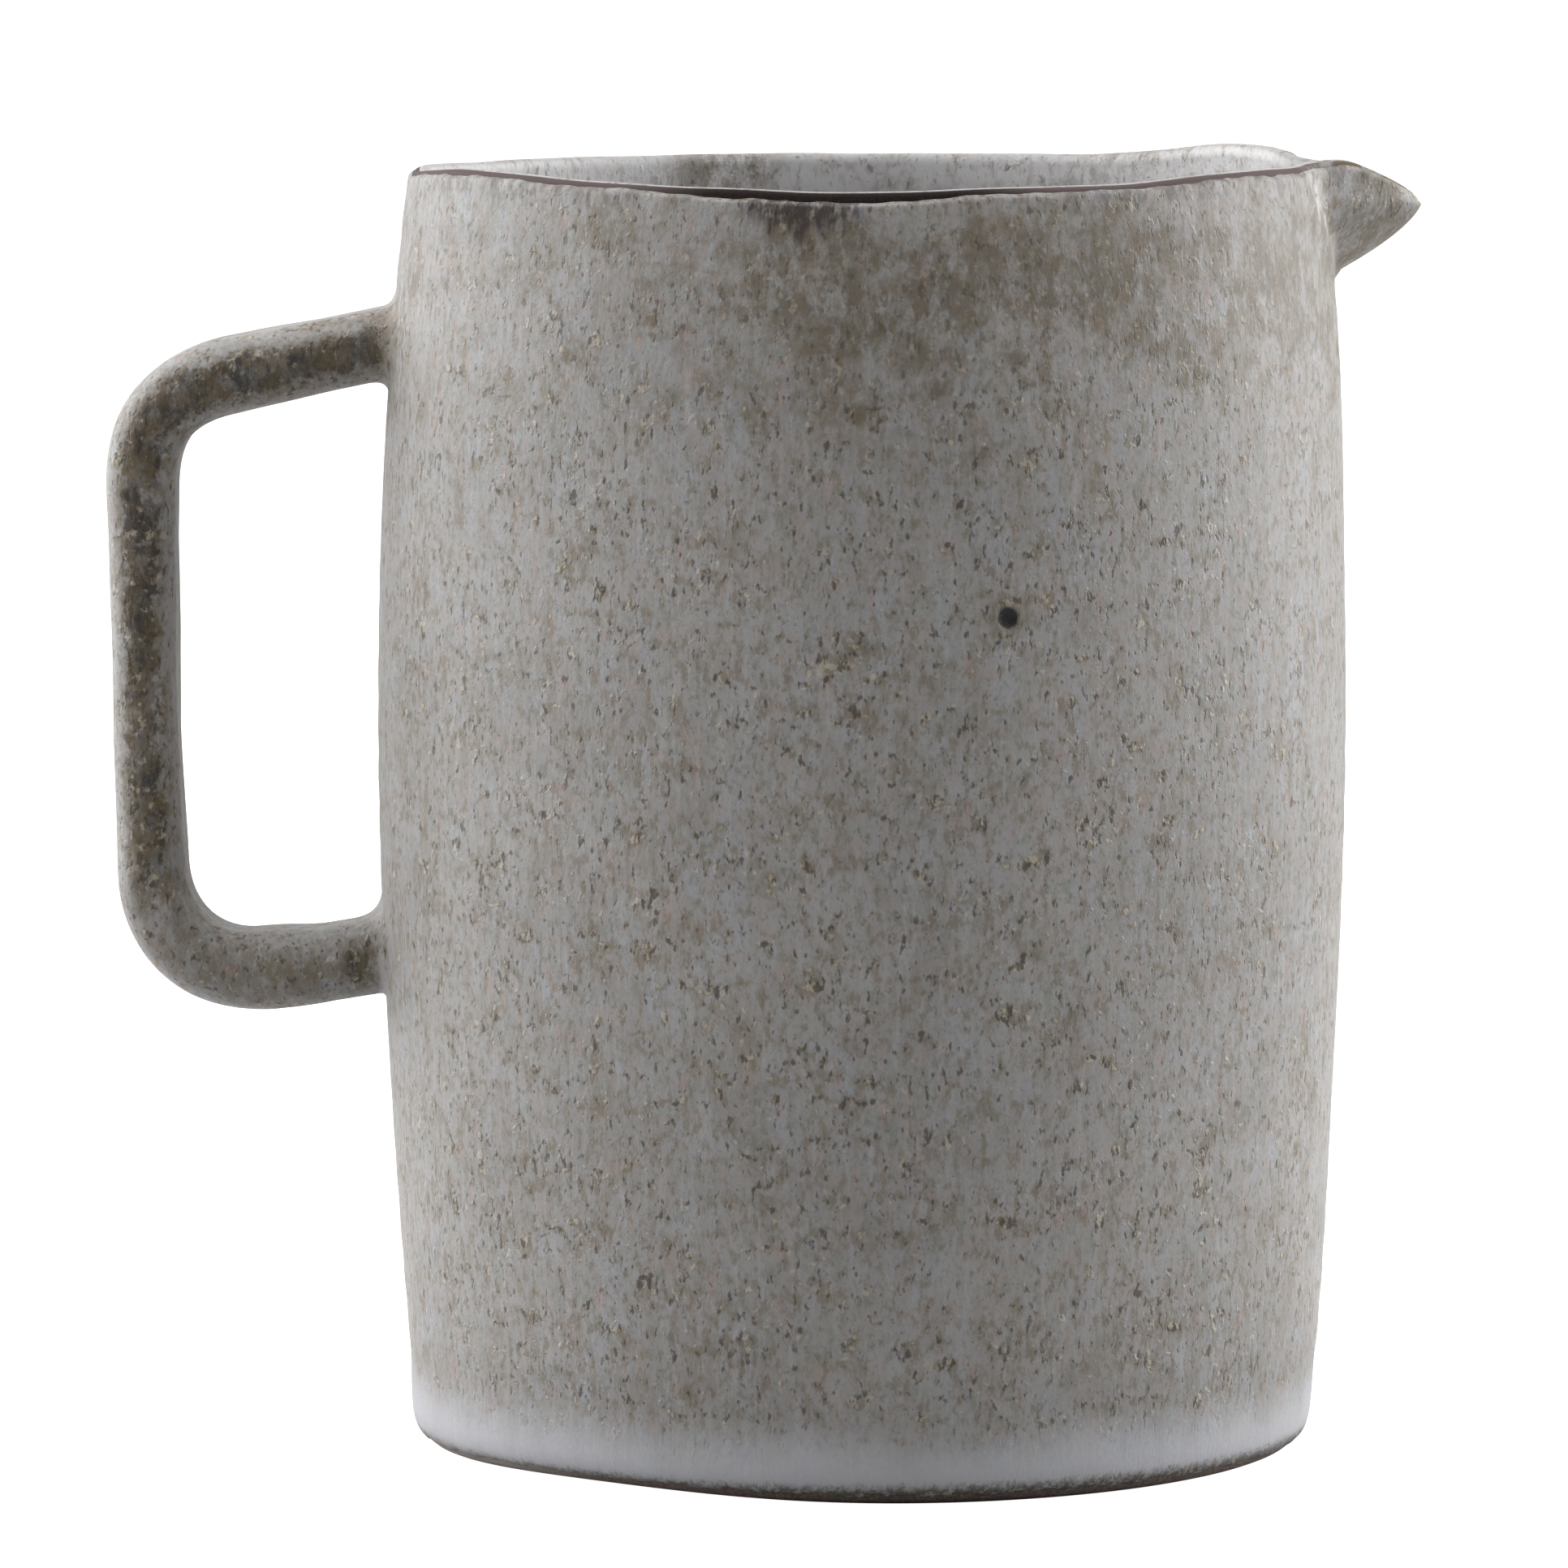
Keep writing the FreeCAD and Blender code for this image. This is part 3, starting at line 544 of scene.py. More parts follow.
def speckled_glaze():
    """The shader group that all the glazes share: cool grey with iron specks, clouds and streaks."""
    group = bpy.data.node_groups.new("speckled_glaze", "ShaderNodeTree")
    face = group.interface
    for name, first in (("Brown", 0), ("Specks", 1), ("Clouds", 1), ("Bleed", 1), ("Painted Light", 0)):
        face.new_socket(name, in_out="INPUT", socket_type="NodeSocketFloat").default_value = first
    face.new_socket("Colour", in_out="OUTPUT", socket_type="NodeSocketColor")
    face.new_socket("Roughness", in_out="OUTPUT", socket_type="NodeSocketFloat")
    face.new_socket("Height", in_out="OUTPUT", socket_type="NodeSocketFloat")
    g = Nodes(group)
    given, result = g.put("NodeGroupInput"), g.put("NodeGroupOutput")
    place = g.millimetres()
    x, y, z = g.split(place)

    # The ground: grey, in long soft streaks, with a fine grain and faint pink and green patches.
    streaks = g.noise(place, (1.1, 1.1, 0.10), 3.0, 0.6)
    broad = g.noise(place, (0.05, 0.05, 0.035), 2.0, 0.5, 3.0)
    tint = g.noise(place, (0.55, 0.55, 0.38), 2.0, 0.6, 7.0)
    grain = g.noise(place, (2.1, 2.1, 1.3), 4.0, 0.7, 5.0)
    drift = g.noise(place, (0.24, 0.24, 0.13), 4.0, 0.65, 15.0)
    colour = g.mix(g.ramp(broad, 0.3, 0.7), ASH_GREY, PALE_GREY)
    colour = g.mix(g.ramp(drift, 0.52, 0.66, 0.0, 0.78), colour, BLUE_GREY)
    colour = g.mix(g.ramp(drift, 0.48, 0.34, 0.0, 0.75), colour, WARM_GREY)
    colour = g.mix(g.ramp(tint, 0.44, 0.26, 0.0, 0.72), colour, GREEN_GREY)
    colour = g.mix(g.ramp(tint, 0.54, 0.72, 0.0, 0.75), colour, PINK_GREY)
    colour = g.mix(g.ramp(streaks, 0.42, 0.74, 0.0, 0.40), colour, STREAK)
    colour = g.mix(g.ramp(grain, 0.48, 0.74, 0.0, 0.60), colour, DARK_GRAIN)
    colour = g.mix(g.ramp(grain, 0.45, 0.22, 0.0, 0.45), colour, LIGHT_GRAIN)
    # Painted light: the glaze is mixed towards a painted white by the input set from each mesh, so that
    # parts of it look brightly lit; this is not a colour of the glaze.
    colour = g.mix(given.outputs["Painted Light"], colour, PAINTED_LIGHT_WHITE)

    # The foot keeps a pale band where the glaze ran thick and the specks are few.
    base_wave = g.math("MULTIPLY_ADD", g.noise(place, (0.09, 0.09, 0.0), 2.0, 0.5, 9.0), 5.0, -2.5)
    band_level = g.math("ADD", z, base_wave)
    above_band = g.ramp(band_level, 3.5, 12.0)
    edge_row = g.ramp(g.math("MULTIPLY_ADD", grain, 2.4, z), 4.6, 2.6)

    # Clouds of brown, mostly round the top and on the spout's side, and one patch inside the lip.
    cloud_noise = g.noise(place, (0.135, 0.135, 0.150), 5.0, 0.68, 12.0)
    top_zone = g.all_of(g.ramp(z, 122.0, 146.0), g.ramp(z, 157.0, 151.0, 0.35, 1.0))
    side_zone = g.ramp(x, -34.0, -6.0, 0.35, 1.0)
    brown_zone = g.math("MULTIPLY", top_zone, side_zone)
    cloud = g.ramp(g.math("MULTIPLY_ADD", brown_zone, 0.23, cloud_noise), 0.55, 0.76, 0.0, 0.78)
    cloud = g.all_of(cloud, given.outputs["Clouds"], g.ramp(z, 4.0, 20.0))
    patch = g.math("MULTIPLY_ADD", cloud_noise, -9.0, g.distance(place, INNER_PATCH))
    patch = g.ramp(patch, 7.0, -1.0, 0.0, 0.72)
    brown = g.math("MAXIMUM", g.math("MAXIMUM", cloud, patch), given.outputs["Brown"])

    # Specks: short upright dashes of olive and brown in loose level rows, with here and there a
    # clump where dark and cream ones meet.  They are fainter in the brown zone.
    rows = g.noise(place, (0.10, 0.10, 0.22), 3.0, 0.6, 20.0)
    clump = g.ramp(g.noise(place, (0.33, 0.33, 0.42), 1.0, 0.5, 26.0), 0.60, 0.74, 0.0, 0.12)
    thick = g.ramp(g.math("MULTIPLY_ADD", brown, 0.25, rows), 0.30, 0.70, 0.035, -0.035)
    thick = g.math("SUBTRACT", thick, clump)
    olive = g.noise(place, (0.95, 0.95, 0.55), 3.0, 0.65, 31.0)
    olive = g.ramp(g.math("SUBTRACT", olive, thick), 0.47, 0.69)
    dark = g.noise(place, (1.40, 1.40, 0.78), 2.0, 0.55, 47.0)
    dark = g.ramp(g.math("SUBTRACT", dark, thick), 0.585, 0.73)
    cream = g.noise(place, (0.95, 0.95, 0.85), 2.0, 0.55, 63.0)
    cream = g.ramp(g.math("MULTIPLY_ADD", thick, -1.4, cream), 0.63, 0.80)
    fill = g.math("MAXIMUM", above_band, g.math("MULTIPLY", edge_row, 0.9))
    faint = g.math("MULTIPLY_ADD", brown_zone, -0.45, 1.0)
    fill = g.all_of(given.outputs["Specks"], fill, faint)
    olive, dark, cream = (g.math("MULTIPLY", mask, fill) for mask in (olive, dark, cream))

    # The brown ground is mottled, and shows through where the glaze is thin.
    mottle = g.noise(place, (0.42, 0.42, 0.24), 5.0, 0.75, 80.0)
    blotch = g.noise(place, (0.26, 0.26, 0.20), 4.0, 0.7, 88.0)
    least = g.ramp(brown, 0.75, 1.0, 0.05, 0.60)
    share = g.math("MULTIPLY", brown, g.ramp(mottle, 0.36, 0.56, least, 1.0))
    deep = g.mix(g.ramp(blotch, 0.44, 0.62), BURNT, RUST)
    depth = g.mix(g.ramp(brown, 0.72, 0.95), THIN_BROWN, deep)
    colour = g.mix(g.math("MULTIPLY", share, 0.94), colour, depth)
    colour = g.mix(g.math("MULTIPLY", olive, 0.58), colour, OLIVE_SPECK)
    colour = g.mix(g.math("MULTIPLY", cream, 0.55), colour, CREAM_SPECK)
    colour = g.mix(g.math("MULTIPLY", dark, 0.78), colour, DARK_SPECK)
    band = g.all_of(g.ramp(band_level, 11.5, 3.5), g.ramp(edge_row, 0.8, 0.0), 0.72)
    colour = g.mix(band, colour, BAND_WHITE)
    edge_specks = g.ramp(g.noise(place, (1.0, 1.0, 1.2), 3.0, 0.7, 55.0), 0.38, 0.54)
    edge_specks = g.all_of(edge_row, edge_specks, g.ramp(x, -50.0, -34.0, 0.2, 0.95))
    colour = g.mix(edge_specks, colour, EDGE_SPECK)

    # Below the lip the iron in the clay bleeds through in short drips, longest in front.
    lip_noise = g.noise(place, (0.22, 0.22, 0.0), 3.0, 0.7, 95.0)
    runs = g.all_of(g.ramp(x, -17.0, -11.0), g.ramp(x, 3.0, -5.0), g.ramp(y, 0.0, -5.0))
    drip = g.math("MULTIPLY_ADD", runs, 3.6, g.math("MULTIPLY_ADD", lip_noise, 14.0, -8.6))
    drips = g.ramp(g.math("ADD", z, drip), 154.2, 157.0)
    ragged = g.noise(place, (0.75, 0.75, 0.26), 3.0, 0.7, 102.0)
    ragged = g.ramp(g.math("MULTIPLY_ADD", runs, 0.08, ragged), 0.38, 0.60)
    bleed = g.all_of(drips, ragged, given.outputs["Bleed"], g.math("MULTIPLY_ADD", runs, 0.42, 0.50))
    colour = g.mix(bleed, colour, DRIP_BROWN)

    # The iron spot: a black pit with a thin olive halo.
    sunk = SPOT_WALL - 0.2
    spot = (sunk * math.cos(SPOT_ANGLE), sunk * math.sin(SPOT_ANGLE), SPOT_LEVEL)
    away = g.math("ADD", g.distance(place, spot), g.math("MULTIPLY_ADD", grain, 0.8, -0.4))
    colour = g.mix(g.ramp(away, 3.4, 1.2, 0.0, 0.5), colour, HALO)
    colour = g.mix(g.ramp(away, 1.65, 1.15), colour, IRON_PIT)

    g.feed(result.inputs["Colour"], colour)
    rough = g.math("MULTIPLY_ADD", grain, 0.16, 0.50)
    g.feed(result.inputs["Roughness"], g.math("MULTIPLY_ADD", dark, -0.12, rough, clamp=True))
    relief = g.math("MULTIPLY_ADD", cream, 0.9, g.math("MULTIPLY", grain, 0.55))
    relief = g.math("MULTIPLY_ADD", dark, -0.6, relief)
    relief = g.math("MULTIPLY_ADD", olive, -0.18, relief)
    g.feed(result.inputs["Height"], g.math("MULTIPLY_ADD", streaks, 0.4, relief))
    return group


glaze_group = speckled_glaze()


def glaze_material(name, specks=1.0, clouds=1.0, bleed=1.0, brown=None, painted_light=False, strap=False):
    """A glaze made with the shared group.

    brown is where, as distances from the axis, it starts and ends to turn brown, and how much.
    The switch for the mesh's attribute paints light: the attribute tells how much the glaze is whitened
    to look brightly lit; strap says that it browns on the strap's faces.
    """
    material, paint, shader = new_material(name)
    mixed = paint.put("ShaderNodeGroup", node_tree=glaze_group)
    mixed.inputs["Specks"].default_value = specks
    mixed.inputs["Clouds"].default_value = clouds
    mixed.inputs["Bleed"].default_value = bleed
    if painted_light:
        # Painted light: how much the glaze is whitened to look lit, read from the mesh.
        painted_light_share = paint.put("ShaderNodeAttribute", attribute_name="painted_light").outputs["Fac"]
        paint.feed(mixed.inputs["Painted Light"], painted_light_share)
    if brown:
        start, end, most = brown
        place = paint.millimetres()
        ragged = paint.math("SUBTRACT", paint.noise(place, (0.6, 0.6, 0.5), 4.0, 0.7, 120.0), 0.5)
        flat = paint.vector("MULTIPLY", place, (1.0, 1.0, 0.0))
        length = paint.put("ShaderNodeVectorMath", flat, operation="LENGTH").outputs["Value"]
        away = paint.math("MULTIPLY_ADD", ragged, 3.5, length)
        far = paint.ramp(away, start, end, 0.0, most)
        if strap:
            turned = paint.split(paint.put("ShaderNodeTexCoord").outputs["Normal"])["Y"]
            side = paint.math("MULTIPLY_ADD", ragged, 0.9, paint.math("ABSOLUTE", turned))
            near_wall = paint.ramp(away, 68.5, 63.0)
            higher = paint.ramp(paint.split(place)["Z"], 60.0, 76.0, 0.47, 1.0)
            side, zone = paint.ramp(side, 0.58, 0.98), paint.math("MAXIMUM", higher, near_wall)
            far = paint.all_of(far, side, zone)
        paint.feed(mixed.inputs["Brown"], far)
    paint.feed(shader.inputs["Base Color"], mixed.outputs["Colour"])
    paint.feed(shader.inputs["Roughness"], mixed.outputs["Roughness"])
    shader.inputs["Specular IOR Level"].default_value = 0.45
    bump = paint.put("ShaderNodeBump", in_Strength=0.55, in_Distance=0.00018)
    paint.feed(bump.inputs["Height"], mixed.outputs["Height"])
    paint.feed(shader.inputs["Normal"], bump.outputs[0])
    return material


def pitted(angle, level):
    """Depth of the iron spot's pit, with its slightly raised rim taken off."""
    across = wrapped(angle - SPOT_ANGLE) * SPOT_WALL
    away = np.hypot(across, level - SPOT_LEVEL) / SPOT_RADIUS
    return 0.42 * np.exp(-(away**4)) - 0.07 * hill(away, 1.35, 0.3)


def under_rings(levels, depth, face):
    """Coarser rings on a coat's hidden side, depth behind its face."""
    rings = []
    for level in levels:
        angle = angles_at(level)
        height = leaned(level, angle)
        rings.append(points(angle, face(angle, height) + depth, height)[::4])
    return rings


# The coat's edges: where it starts above the foot and stops below the lip, how ragged both are,
# and how deep its edge sinks into the clay.
FOOT_EDGE, TOP_EDGE = 1.15, 157.42
SUNK_EDGE, HIDDEN = GLAZE + 0.03, GLAZE + 0.12
foot_jag = 0.16 * np.sin(37 * columns + 1) + 0.13 * np.sin(61 * columns + 2.2)
foot_jag = foot_jag + 0.10 * np.sin(97 * columns)
lip_jag = 0.05 * np.sin(41 * columns) + 0.05 * np.sin(83 * columns + 1.0) + 0.07 * np.sin(17 * columns)
lip_jag = lip_jag + 0.50 * step(9, 24, np.abs(np.degrees(columns) + 95)) - 0.22
low_levels = np.array([0.0, 0.10, 0.28, 0.55, 0.9, 1.35, 1.9, 2.6, 3.4, 4.4, 5.6]) + FOOT_EDGE
near_spot = np.arange(SPOT_LEVEL - SPOT_EDGE, SPOT_LEVEL + SPOT_EDGE + 0.1, 0.2)
below_spot, above_spot = np.arange(8.0, near_spot[0], 1.5), np.arange(near_spot[-1] + 1, 141, 1.4)
high_levels = [*np.arange(141.4, 156.4, 0.5), 156.6, 156.9, 157.15, 157.32, TOP_EDGE]
coat_rings, coat_painted_light = [], []
for level in np.concatenate([low_levels, below_spot, near_spot, above_spot, high_levels]):
    angle = angles_at(level)
    height = leaned(level, angle)
    height = height + foot_jag * step(5.0, 0.9, level) + lip_jag * step(155.5, 157.4, level)
    at_foot = 1 - step(0.0, 0.45, level - FOOT_EDGE) ** 0.5
    thinned = SUNK_EDGE * (at_foot + step(156.8, TOP_EDGE, level) ** 2)
    radius = outside(angle, height) - thinned - pitted(angle, height)
    coat_rings.append(points(angle, radius, height + foot_lift(angle, level)))
    # Painted highlight: a band just past the spout's crease, from 142 mm up, is painted whiter where
    # the ridge beside the crease catches the light; a faint paler line is painted under the lip.
    edge = np.degrees(np.abs(wrapped(angle)) - crease(level))
    painted_light = 0.55 * hill(edge, 3.0, 2.2) * step(142, 147, level) + 0.1 * hill(level, 156.5, 0.5)
    coat_painted_light.append(np.clip(painted_light, 0, 1))
under_levels = (156.8, 152, 148, 145, 142, 138, 128, 110, 90, 70, 50, 30, 14, 7, 4, 2.2)
coat_rings += under_rings(under_levels, -HIDDEN, outside)
outer_glaze = glaze_material("grey_glaze_outside", brown=(60.3, 62.0, 0.72), painted_light=True)
coat_mesh = ring_mesh("outer_glaze_coat", coat_rings, closed=True)


def set_painted_light(mesh, rest, first, values):
    """How much painted light whitens a coat: values from its point first on, and rest everywhere else.
    """
    painted_light = np.full(len(mesh.vertices), rest)
    painted_light[first : first + len(values)] = values
    mesh.attributes.new("painted_light", "FLOAT", "POINT").data.foreach_set("value", painted_light)


set_painted_light(coat_mesh, 0.0, 0, np.concatenate(coat_painted_light))
new_piece("outer_glaze_coat", coat_mesh, outer_glaze, ["outer_glaze", "spout_glaze"])

# ---------------------------------------------------------------------------------------------
# The inner glaze: the same glaze poured round the inside, from the top of the lip down the wall,
# through the channel of the spout and over the floor, where it lies a little thicker.  It is
# painted much whiter than the outside glaze, painted light that makes the inside look brightly lit.
# ---------------------------------------------------------------------------------------------
CROWN = ((0.36, 0.22), (0.39, 0.10), (0.46, 0.02), (0.56, 0.0), (0.70, 0.05), (0.84, 0.22), (0.94, 0.5))
lining, lining_painted_light = [], []
angle = angles_at(158.0)
top, face, back = lip_level(angle), outside(angle, LIP_CLAY) - GLAZE, inside(angle, LIP_CLAY)
for share, drop in CROWN:
    lining.append(points(angle, face + share * (back - face), top - drop))
    lining_painted_light += [0.25 if share < 0.9 else 0.6] * len(columns)
channel, drum = np.arange(157.3, 140.0, -0.5), np.arange(139.5, 14.0, -1.6)
for level in np.concatenate([channel, drum, np.arange(13.4, 6.4, -0.45)]):
    angle = angles_at(level)
    height = leaned(level, angle) - 0.05 * step(150, 158, level)
    lining.append(points(angle, inside(angle, height), height))
FLOOR_GLAZE, FLOOR_UNDER = FLOOR_TOP + 0.55, FLOOR_TOP - 0.2
floor_start = np.hypot(*lining[-1][:, :2].T) / MM
for share in (0.97, 0.93, 0.86, 0.76, 0.64, 0.52, 0.40, 0.28, 0.17, 0.08):
    ripple = 0.12 * math.sin(share * 21) * step(0, 0.3, 1 - share)
    pooled = FLOOR_GLAZE + ripple + 0.25 * step(0.9, 1.0, share)
    lining.append(points(angles_at(6.4), floor_start * share, pooled))
lining.append(axis_point(FLOOR_GLAZE + 0.1))
lining_back = [axis_point(FLOOR_UNDER)]
lining_back += [points(angles_at(6.0), radius, FLOOR_UNDER)[::4] for radius in (15.0, 30.0, 41.0)]
back_levels = (8, 11, 15, 30, 60, 90, 120, 138, 143, 147, 151, 155, 157)
lining_back += under_rings(back_levels, HIDDEN, inside)
inner_glaze = glaze_material("grey_glaze_inside", specks=0.6, clouds=0.5, bleed=0.0, painted_light=True)
lining_mesh = ring_mesh("inner_glaze_coat", lining_back + lining)
# Painted light: all of the lining but the lip's top is painted near white, 0.95, so that the inside
# looks brightly lit; the lip's top gets 0.25 and its inner edge 0.6.
set_painted_light(lining_mesh, 0.95, sum(len(ring) for ring in lining_back), lining_painted_light)
new_piece("inner_glaze_coat", lining_mesh, inner_glaze, ["inner_glaze"])

# ---------------------------------------------------------------------------------------------
# The handle: a strap of clay pulled to an even width, bent square and glazed with the pot.  Its
# clay core and its glaze are one rule with two sizes, run along the same bent line.
# ---------------------------------------------------------------------------------------------
STRAP_END = -66.0
STRAP_ROWS, STRAP_AROUND = 150, 72
OUT_OF_TOP, INTO_BOTTOM = (-0.9793, -0.2025), (0.987, 0.160)
strap_line = bpy.data.curves.new("strap_line", "CURVE")
strap_line.dimensions = "3D"
strap_line.resolution_u = 16
spline = strap_line.splines.new("BEZIER")
# Each bend of the line: its place and its heading, both as (x, z); how far its curve reaches
# before and after it; the strap's thickness there as a share of the usual one.
BENDS = (
    ((STRAP_END, 135.48), OUT_OF_TOP, 4.0, 4.0, 0.975),
    ((-77.90, 133.02), OUT_OF_TOP, 4.0, 7.30, 1.05),
    ((-89.15, 119.20), (0.015, -0.9999), 8.30, 14.0, 0.955),
    ((-88.68, 90.00), (0.020, -0.9998), 11.0, 6.0, 0.875),
    ((-88.10, 71.80), (0.035, -0.9994), 6.0, 7.60, 0.955),
    ((-73.60, 58.95), (0.994, 0.090), 9.10, 3.0, 1.095),
    ((STRAP_END, 59.68), INTO_BOTTOM, 3.0, 3.0, 1.015),
)
spline.bezier_points.add(len(BENDS) - 1)
for knot, (place, heading, before, after, share) in zip(spline.bezier_points, BENDS):
    centre = Vector((place[0], 0, place[1]))
    way = Vector((heading[0], 0, heading[1]))
    knot.handle_left_type = knot.handle_right_type = "FREE"
    knot.co = centre * MM
    knot.handle_left = (centre - way * before) * MM
    knot.handle_right = (centre + way * after) * MM
    knot.radius = share


def strap_tree():
    """Geometry Nodes: a rounded strap run along the line, thickened by the line's radius."""
    tree = bpy.data.node_groups.new("pulled_strap", "GeometryNodeTree")
    face = tree.interface
    face.new_socket("Line", in_out="INPUT", socket_type="NodeSocketGeometry")
    for name in ("Width", "Thickness", "Edge Round", "Unevenness"):
        face.new_socket(name, in_out="INPUT", socket_type="NodeSocketFloat")
    face.new_socket("Seed", in_out="INPUT", socket_type="NodeSocketFloat").default_value = 3.0
    face.new_socket("Finish", in_out="INPUT", socket_type="NodeSocketMaterial")
    face.new_socket("Strap", in_out="OUTPUT", socket_type="NodeSocketGeometry")
    g = Nodes(tree)
    given, result = g.put("NodeGroupInput"), g.put("NodeGroupOutput")

    # The line in even steps, keeping what its points know: share, centre and how far along.
    line = g.put("GeometryNodeResampleCurve", given.outputs["Line"], mode="COUNT", in_Count=STRAP_ROWS)
    kept = g.put("GeometryNodeCaptureAttribute", domain="POINT")
    kept.capture_items.new("FLOAT", "Share")
    kept.capture_items.new("VECTOR", "Centre")
    kept.capture_items.new("FLOAT", "Along")
    g.feed(kept.inputs[0], line.outputs[0])
    g.feed(kept.inputs["Share"], g.put("GeometryNodeInputRadius").outputs[0])
    g.feed(kept.inputs["Centre"], g.put("GeometryNodeInputPosition").outputs[0])
    g.feed(kept.inputs["Along"], g.put("GeometryNodeSplineParameter").outputs["Factor"])
    even = g.put("GeometryNodeSetCurveRadius", in_Curve=kept.outputs[0], in_Radius=1.0).outputs[0]
    facing = g.put("GeometryNodeSetCurveNormal", mode="FREE", in_Curve=even)
    facing.inputs["Normal"].default_value = (0.0, 1.0, 0.0)

    # The strap's section, a rectangle with rounded corners, swept along the line.
    width, thickness = given.outputs["Width"], given.outputs["Thickness"]
    shape = g.put("GeometryNodeCurvePrimitiveQuadrilateral", width, thickness, mode="RECTANGLE")
    rounded = g.put("GeometryNodeFilletCurve", mode="POLY", in_Curve=shape.outputs[0], in_Count=10)
    g.feed(rounded.inputs["Radius"], given.outputs["Edge Round"])
    rounded.inputs["Limit Radius"].default_value = True
    ring = g.put("GeometryNodeResampleCurve", mode="COUNT", in_Curve=rounded.outputs[0])
    ring.inputs["Count"].default_value = STRAP_AROUND
    swept = g.put("GeometryNodeCurveToMesh", in_Curve=facing.outputs[0], in_Fill_Caps=True)
    g.feed(swept.inputs["Profile Curve"], ring.outputs[0])

    # Thicker or thinner about its centre, then a little uneven, but true at both ends.
    position = g.put("GeometryNodeInputPosition").outputs[0]
    swell = g.math("SUBTRACT", kept.outputs["Share"], 1.0)
    by_axis = g.put("ShaderNodeCombineXYZ", swell, 0.0, swell).outputs[0]
    added = g.vector("MULTIPLY", g.vector("SUBTRACT", position, kept.outputs["Centre"]), by_axis)
    wobble = g.put("ShaderNodeTexNoise", noise_dimensions="4D", in_Scale=70.0, in_Detail=1.0)
    g.feed(wobble.inputs["W"], given.outputs["Seed"])
    along = kept.outputs["Along"]
    ends = g.math("MULTIPLY", g.ramp(along, 0.0, 0.06), g.ramp(along, 1.0, 0.94))
    amount = g.math("MULTIPLY", g.math("SUBTRACT", wobble.outputs["Fac"], 0.5), 4.0)
    amount = g.all_of(amount, ends, given.outputs["Unevenness"])
    bumps = g.vector("SCALE", g.put("GeometryNodeInputNormal").outputs[0], amount)
    moved = g.put("GeometryNodeSetPosition", in_Geometry=swept.outputs[0])
    g.feed(moved.inputs["Offset"], g.vector("ADD", added, bumps))
    whole = g.put("GeometryNodeRealizeInstances", moved.outputs[0]).outputs[0]
    painted = g.put("GeometryNodeSetMaterial", in_Geometry=whole, in_Material=given.outputs["Finish"])
    g.feed(result.inputs["Strap"], painted.outputs[0])
    return tree


pulled_strap = strap_tree()
strap_glaze = glaze_material("grey_glaze_handle", bleed=0.0, brown=(59.5, 63.0, 1.0), strap=True)


def grown(name, source, tree, values):
    """The plain mesh that a Geometry Nodes tree makes of source; values are its inputs by name."""
    modifier = source.modifiers.new("grown", "NODES")
    modifier.node_group = tree
    for socket in tree.interface.items_tree:
        if socket.name in values and socket.in_out == "INPUT":
            modifier[socket.identifier] = values[socket.name]
    bpy.context.view_layer.update()
    seen = source.evaluated_get(bpy.context.evaluated_depsgraph_get())
    mesh = bpy.data.meshes.new_from_object(seen)
    mesh.name = name
    source.modifiers.remove(modifier)
    return mesh


def outward(mesh):
    """Turns faces outward and keeps the flat end caps, put first, apart from the smooth sides."""
    work = bmesh.new()
    work.from_mesh(mesh)
    bmesh.ops.remove_doubles(work, verts=work.verts, dist=1e-7)
    bmesh.ops.recalc_face_normals(work, faces=work.faces)
    work.faces.sort(key=lambda face: -len(face.verts))
    for face in work.faces:
        face.smooth = len(face.verts) == 4
        for edge in face.edges:
            edge.smooth = edge.smooth and face.smooth
    work.to_mesh(mesh)
    work.free()
    return mesh


strap_object = bpy.data.objects.new("strap_line", strap_line)
bpy.context.collection.objects.link(strap_object)
core = {"Width": 0.0144, "Thickness": 0.0080, "Edge Round": 0.0038, "Unevenness": 0.0}
coat = {"Width": 0.0154, "Thickness": 0.0090, "Edge Round": 0.0043, "Unevenness": 0.00016}
core["Finish"], coat["Finish"] = bare_clay, strap_glaze
strap_core = outward(grown("handle_clay", strap_object, pulled_strap, core))
strap_coat = outward(grown("handle_glaze_coat", strap_object, pulled_strap, coat))
bpy.data.objects.remove(strap_object)
new_piece("handle_clay", strap_core, bare_clay, ["handle"])
new_piece("handle_glaze_coat", strap_coat, strap_glaze, ["handle_glaze"])

# ---------------------------------------------------------------------------------------------
# The joints: where the strap's ends are pressed on to the wall with a little slip and smoothed
# out sideways with a thumb, under the same glaze.
# ---------------------------------------------------------------------------------------------


def on_wall(width, level, sunk):
    """How far out the wall's surface is at the handle's side, less sunk."""
    angle = math.pi - np.arcsin(np.clip(width / 59.0, -1, 1))
    return -np.sqrt((barrel_radius(angle, level) - sunk) ** 2 - width**2)


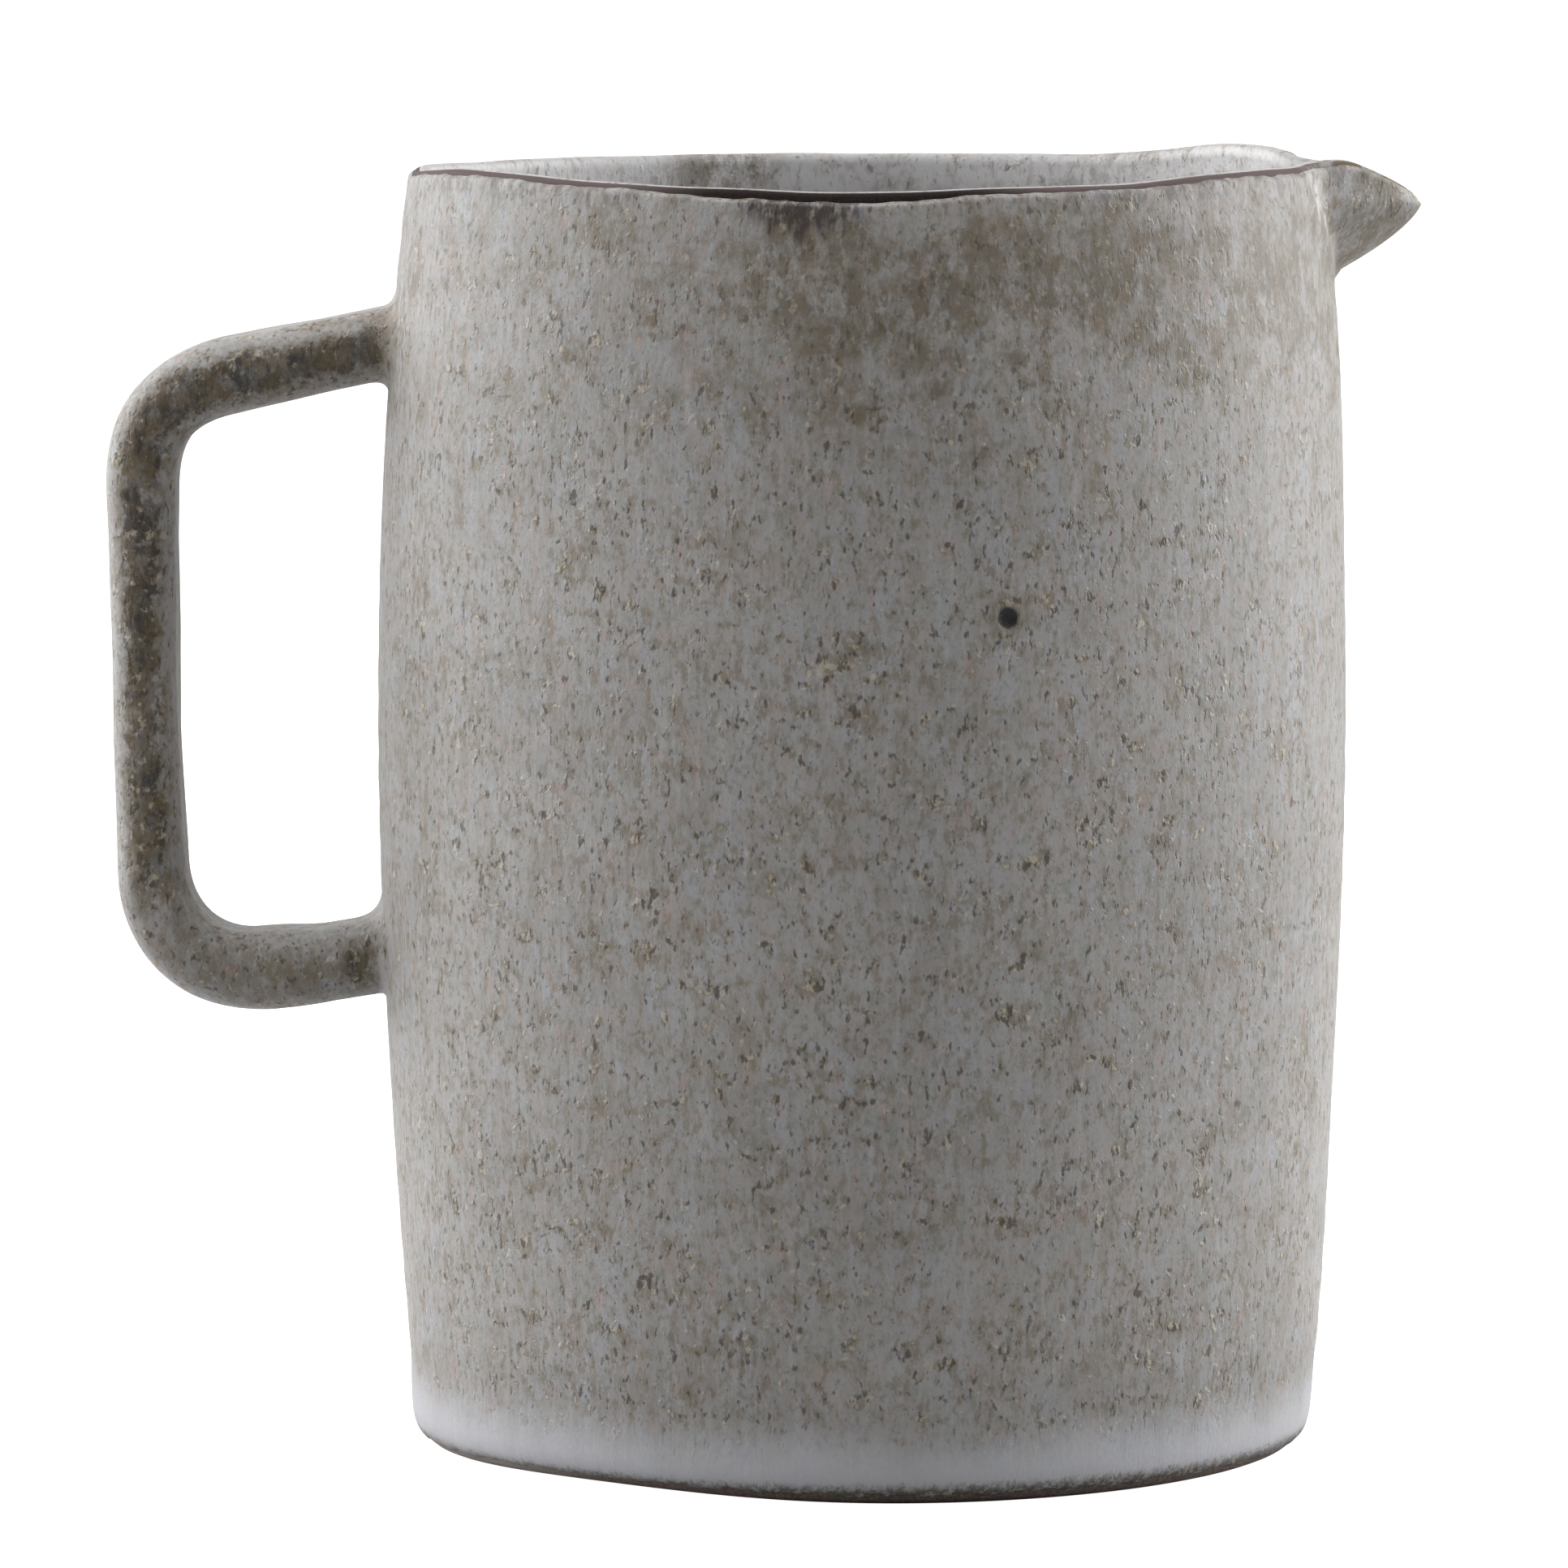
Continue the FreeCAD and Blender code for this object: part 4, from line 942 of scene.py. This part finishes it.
def joint(name, node, ring, heading, spread, reach, brown):
    """A flare from the strap's end ring to the wall.

    heading is (x, z) into the wall; spread is how far the flare runs along the wall and reach how
    far out it starts, each as (above, below, sideways) in millimetres.
    """
    heading = np.array([heading[0], 0.0, heading[1]])
    middle = ring.mean(axis=0)
    across, up = ring[:, 1] - middle[1], ring[:, 2] - middle[2]
    turned = np.arctan2(up / np.abs(up).max(), across / np.abs(across).max())
    order = np.argsort(turned)
    ring, turned = ring[order], turned[order]
    side_share = np.cos(turned) ** 2

    def by_side(above, below, sideways):
        return side_share * sideways + (1 - side_share) * np.where(turned > 0, above, below)

    corner = ring.copy()
    for _ in range(4):
        travel = (on_wall(corner[:, 1], corner[:, 2], 0.0) - ring[:, 0]) / heading[0]
        corner = ring + travel[:, None] * heading
    start = corner - heading * np.minimum(by_side(*reach), travel * 0.97)[:, None]
    finish = corner.copy()
    finish[:, 1] += np.cos(turned) * by_side(*spread)
    finish[:, 2] += np.sin(turned) * by_side(*spread)
    finish[:, 0] = on_wall(finish[:, 1], finish[:, 2], 0.06)
    rings = [ring]
    for share in np.linspace(0, 1, 5)[1:]:
        rings.append(ring + (start - ring) * share)
    for share in np.linspace(0, 1, 19)[1:]:
        rest = 1 - share
        rings.append(rest**2 * start + 2 * share * rest * corner + share**2 * finish)
    inner = finish.copy()
    root = corner[:, 1:].mean(axis=0)
    inner[:, 1:] = (finish[:, 1:] - root) * 0.93 + root
    inner[:, 0] = on_wall(inner[:, 1], inner[:, 2], 1.6)
    rings.append(inner)
    number = len(ring)
    last = number * (len(rings) - 1)
    caps = [list(range(number)), list(range(last, last + number))]
    mesh = bpy.data.meshes.new(name)
    vertices = (np.concatenate(rings) * MM).tolist()
    mesh.from_pydata(vertices, [], ring_faces(rings, False) + caps)
    glaze = glaze_material("grey_glaze_" + name, bleed=0.0, brown=brown, strap=True)
    new_piece(name, outward(mesh), glaze, [node])


strap_points = np.array([point.co for point in strap_coat.vertices]) / MM
top_end, bottom_end = strap_points[:STRAP_AROUND], strap_points[-STRAP_AROUND:]
into_top = (-OUT_OF_TOP[0], -OUT_OF_TOP[1])
top_flare = {"spread": (2.8, 1.9, 3.0), "reach": (1.9, 2.9, 2.2), "brown": (58.6, 60.4, 1.0)}
bottom_flare = {"spread": (4.0, 0.4, 3.0), "reach": (4.6, 0.5, 2.2), "brown": (59.9, 61.5, 1.0)}
joint("top_joint", "handle_top_joint", top_end, into_top, **top_flare)
joint("bottom_joint", "handle_bottom_joint", bottom_end, INTO_BOTTOM, **bottom_flare)
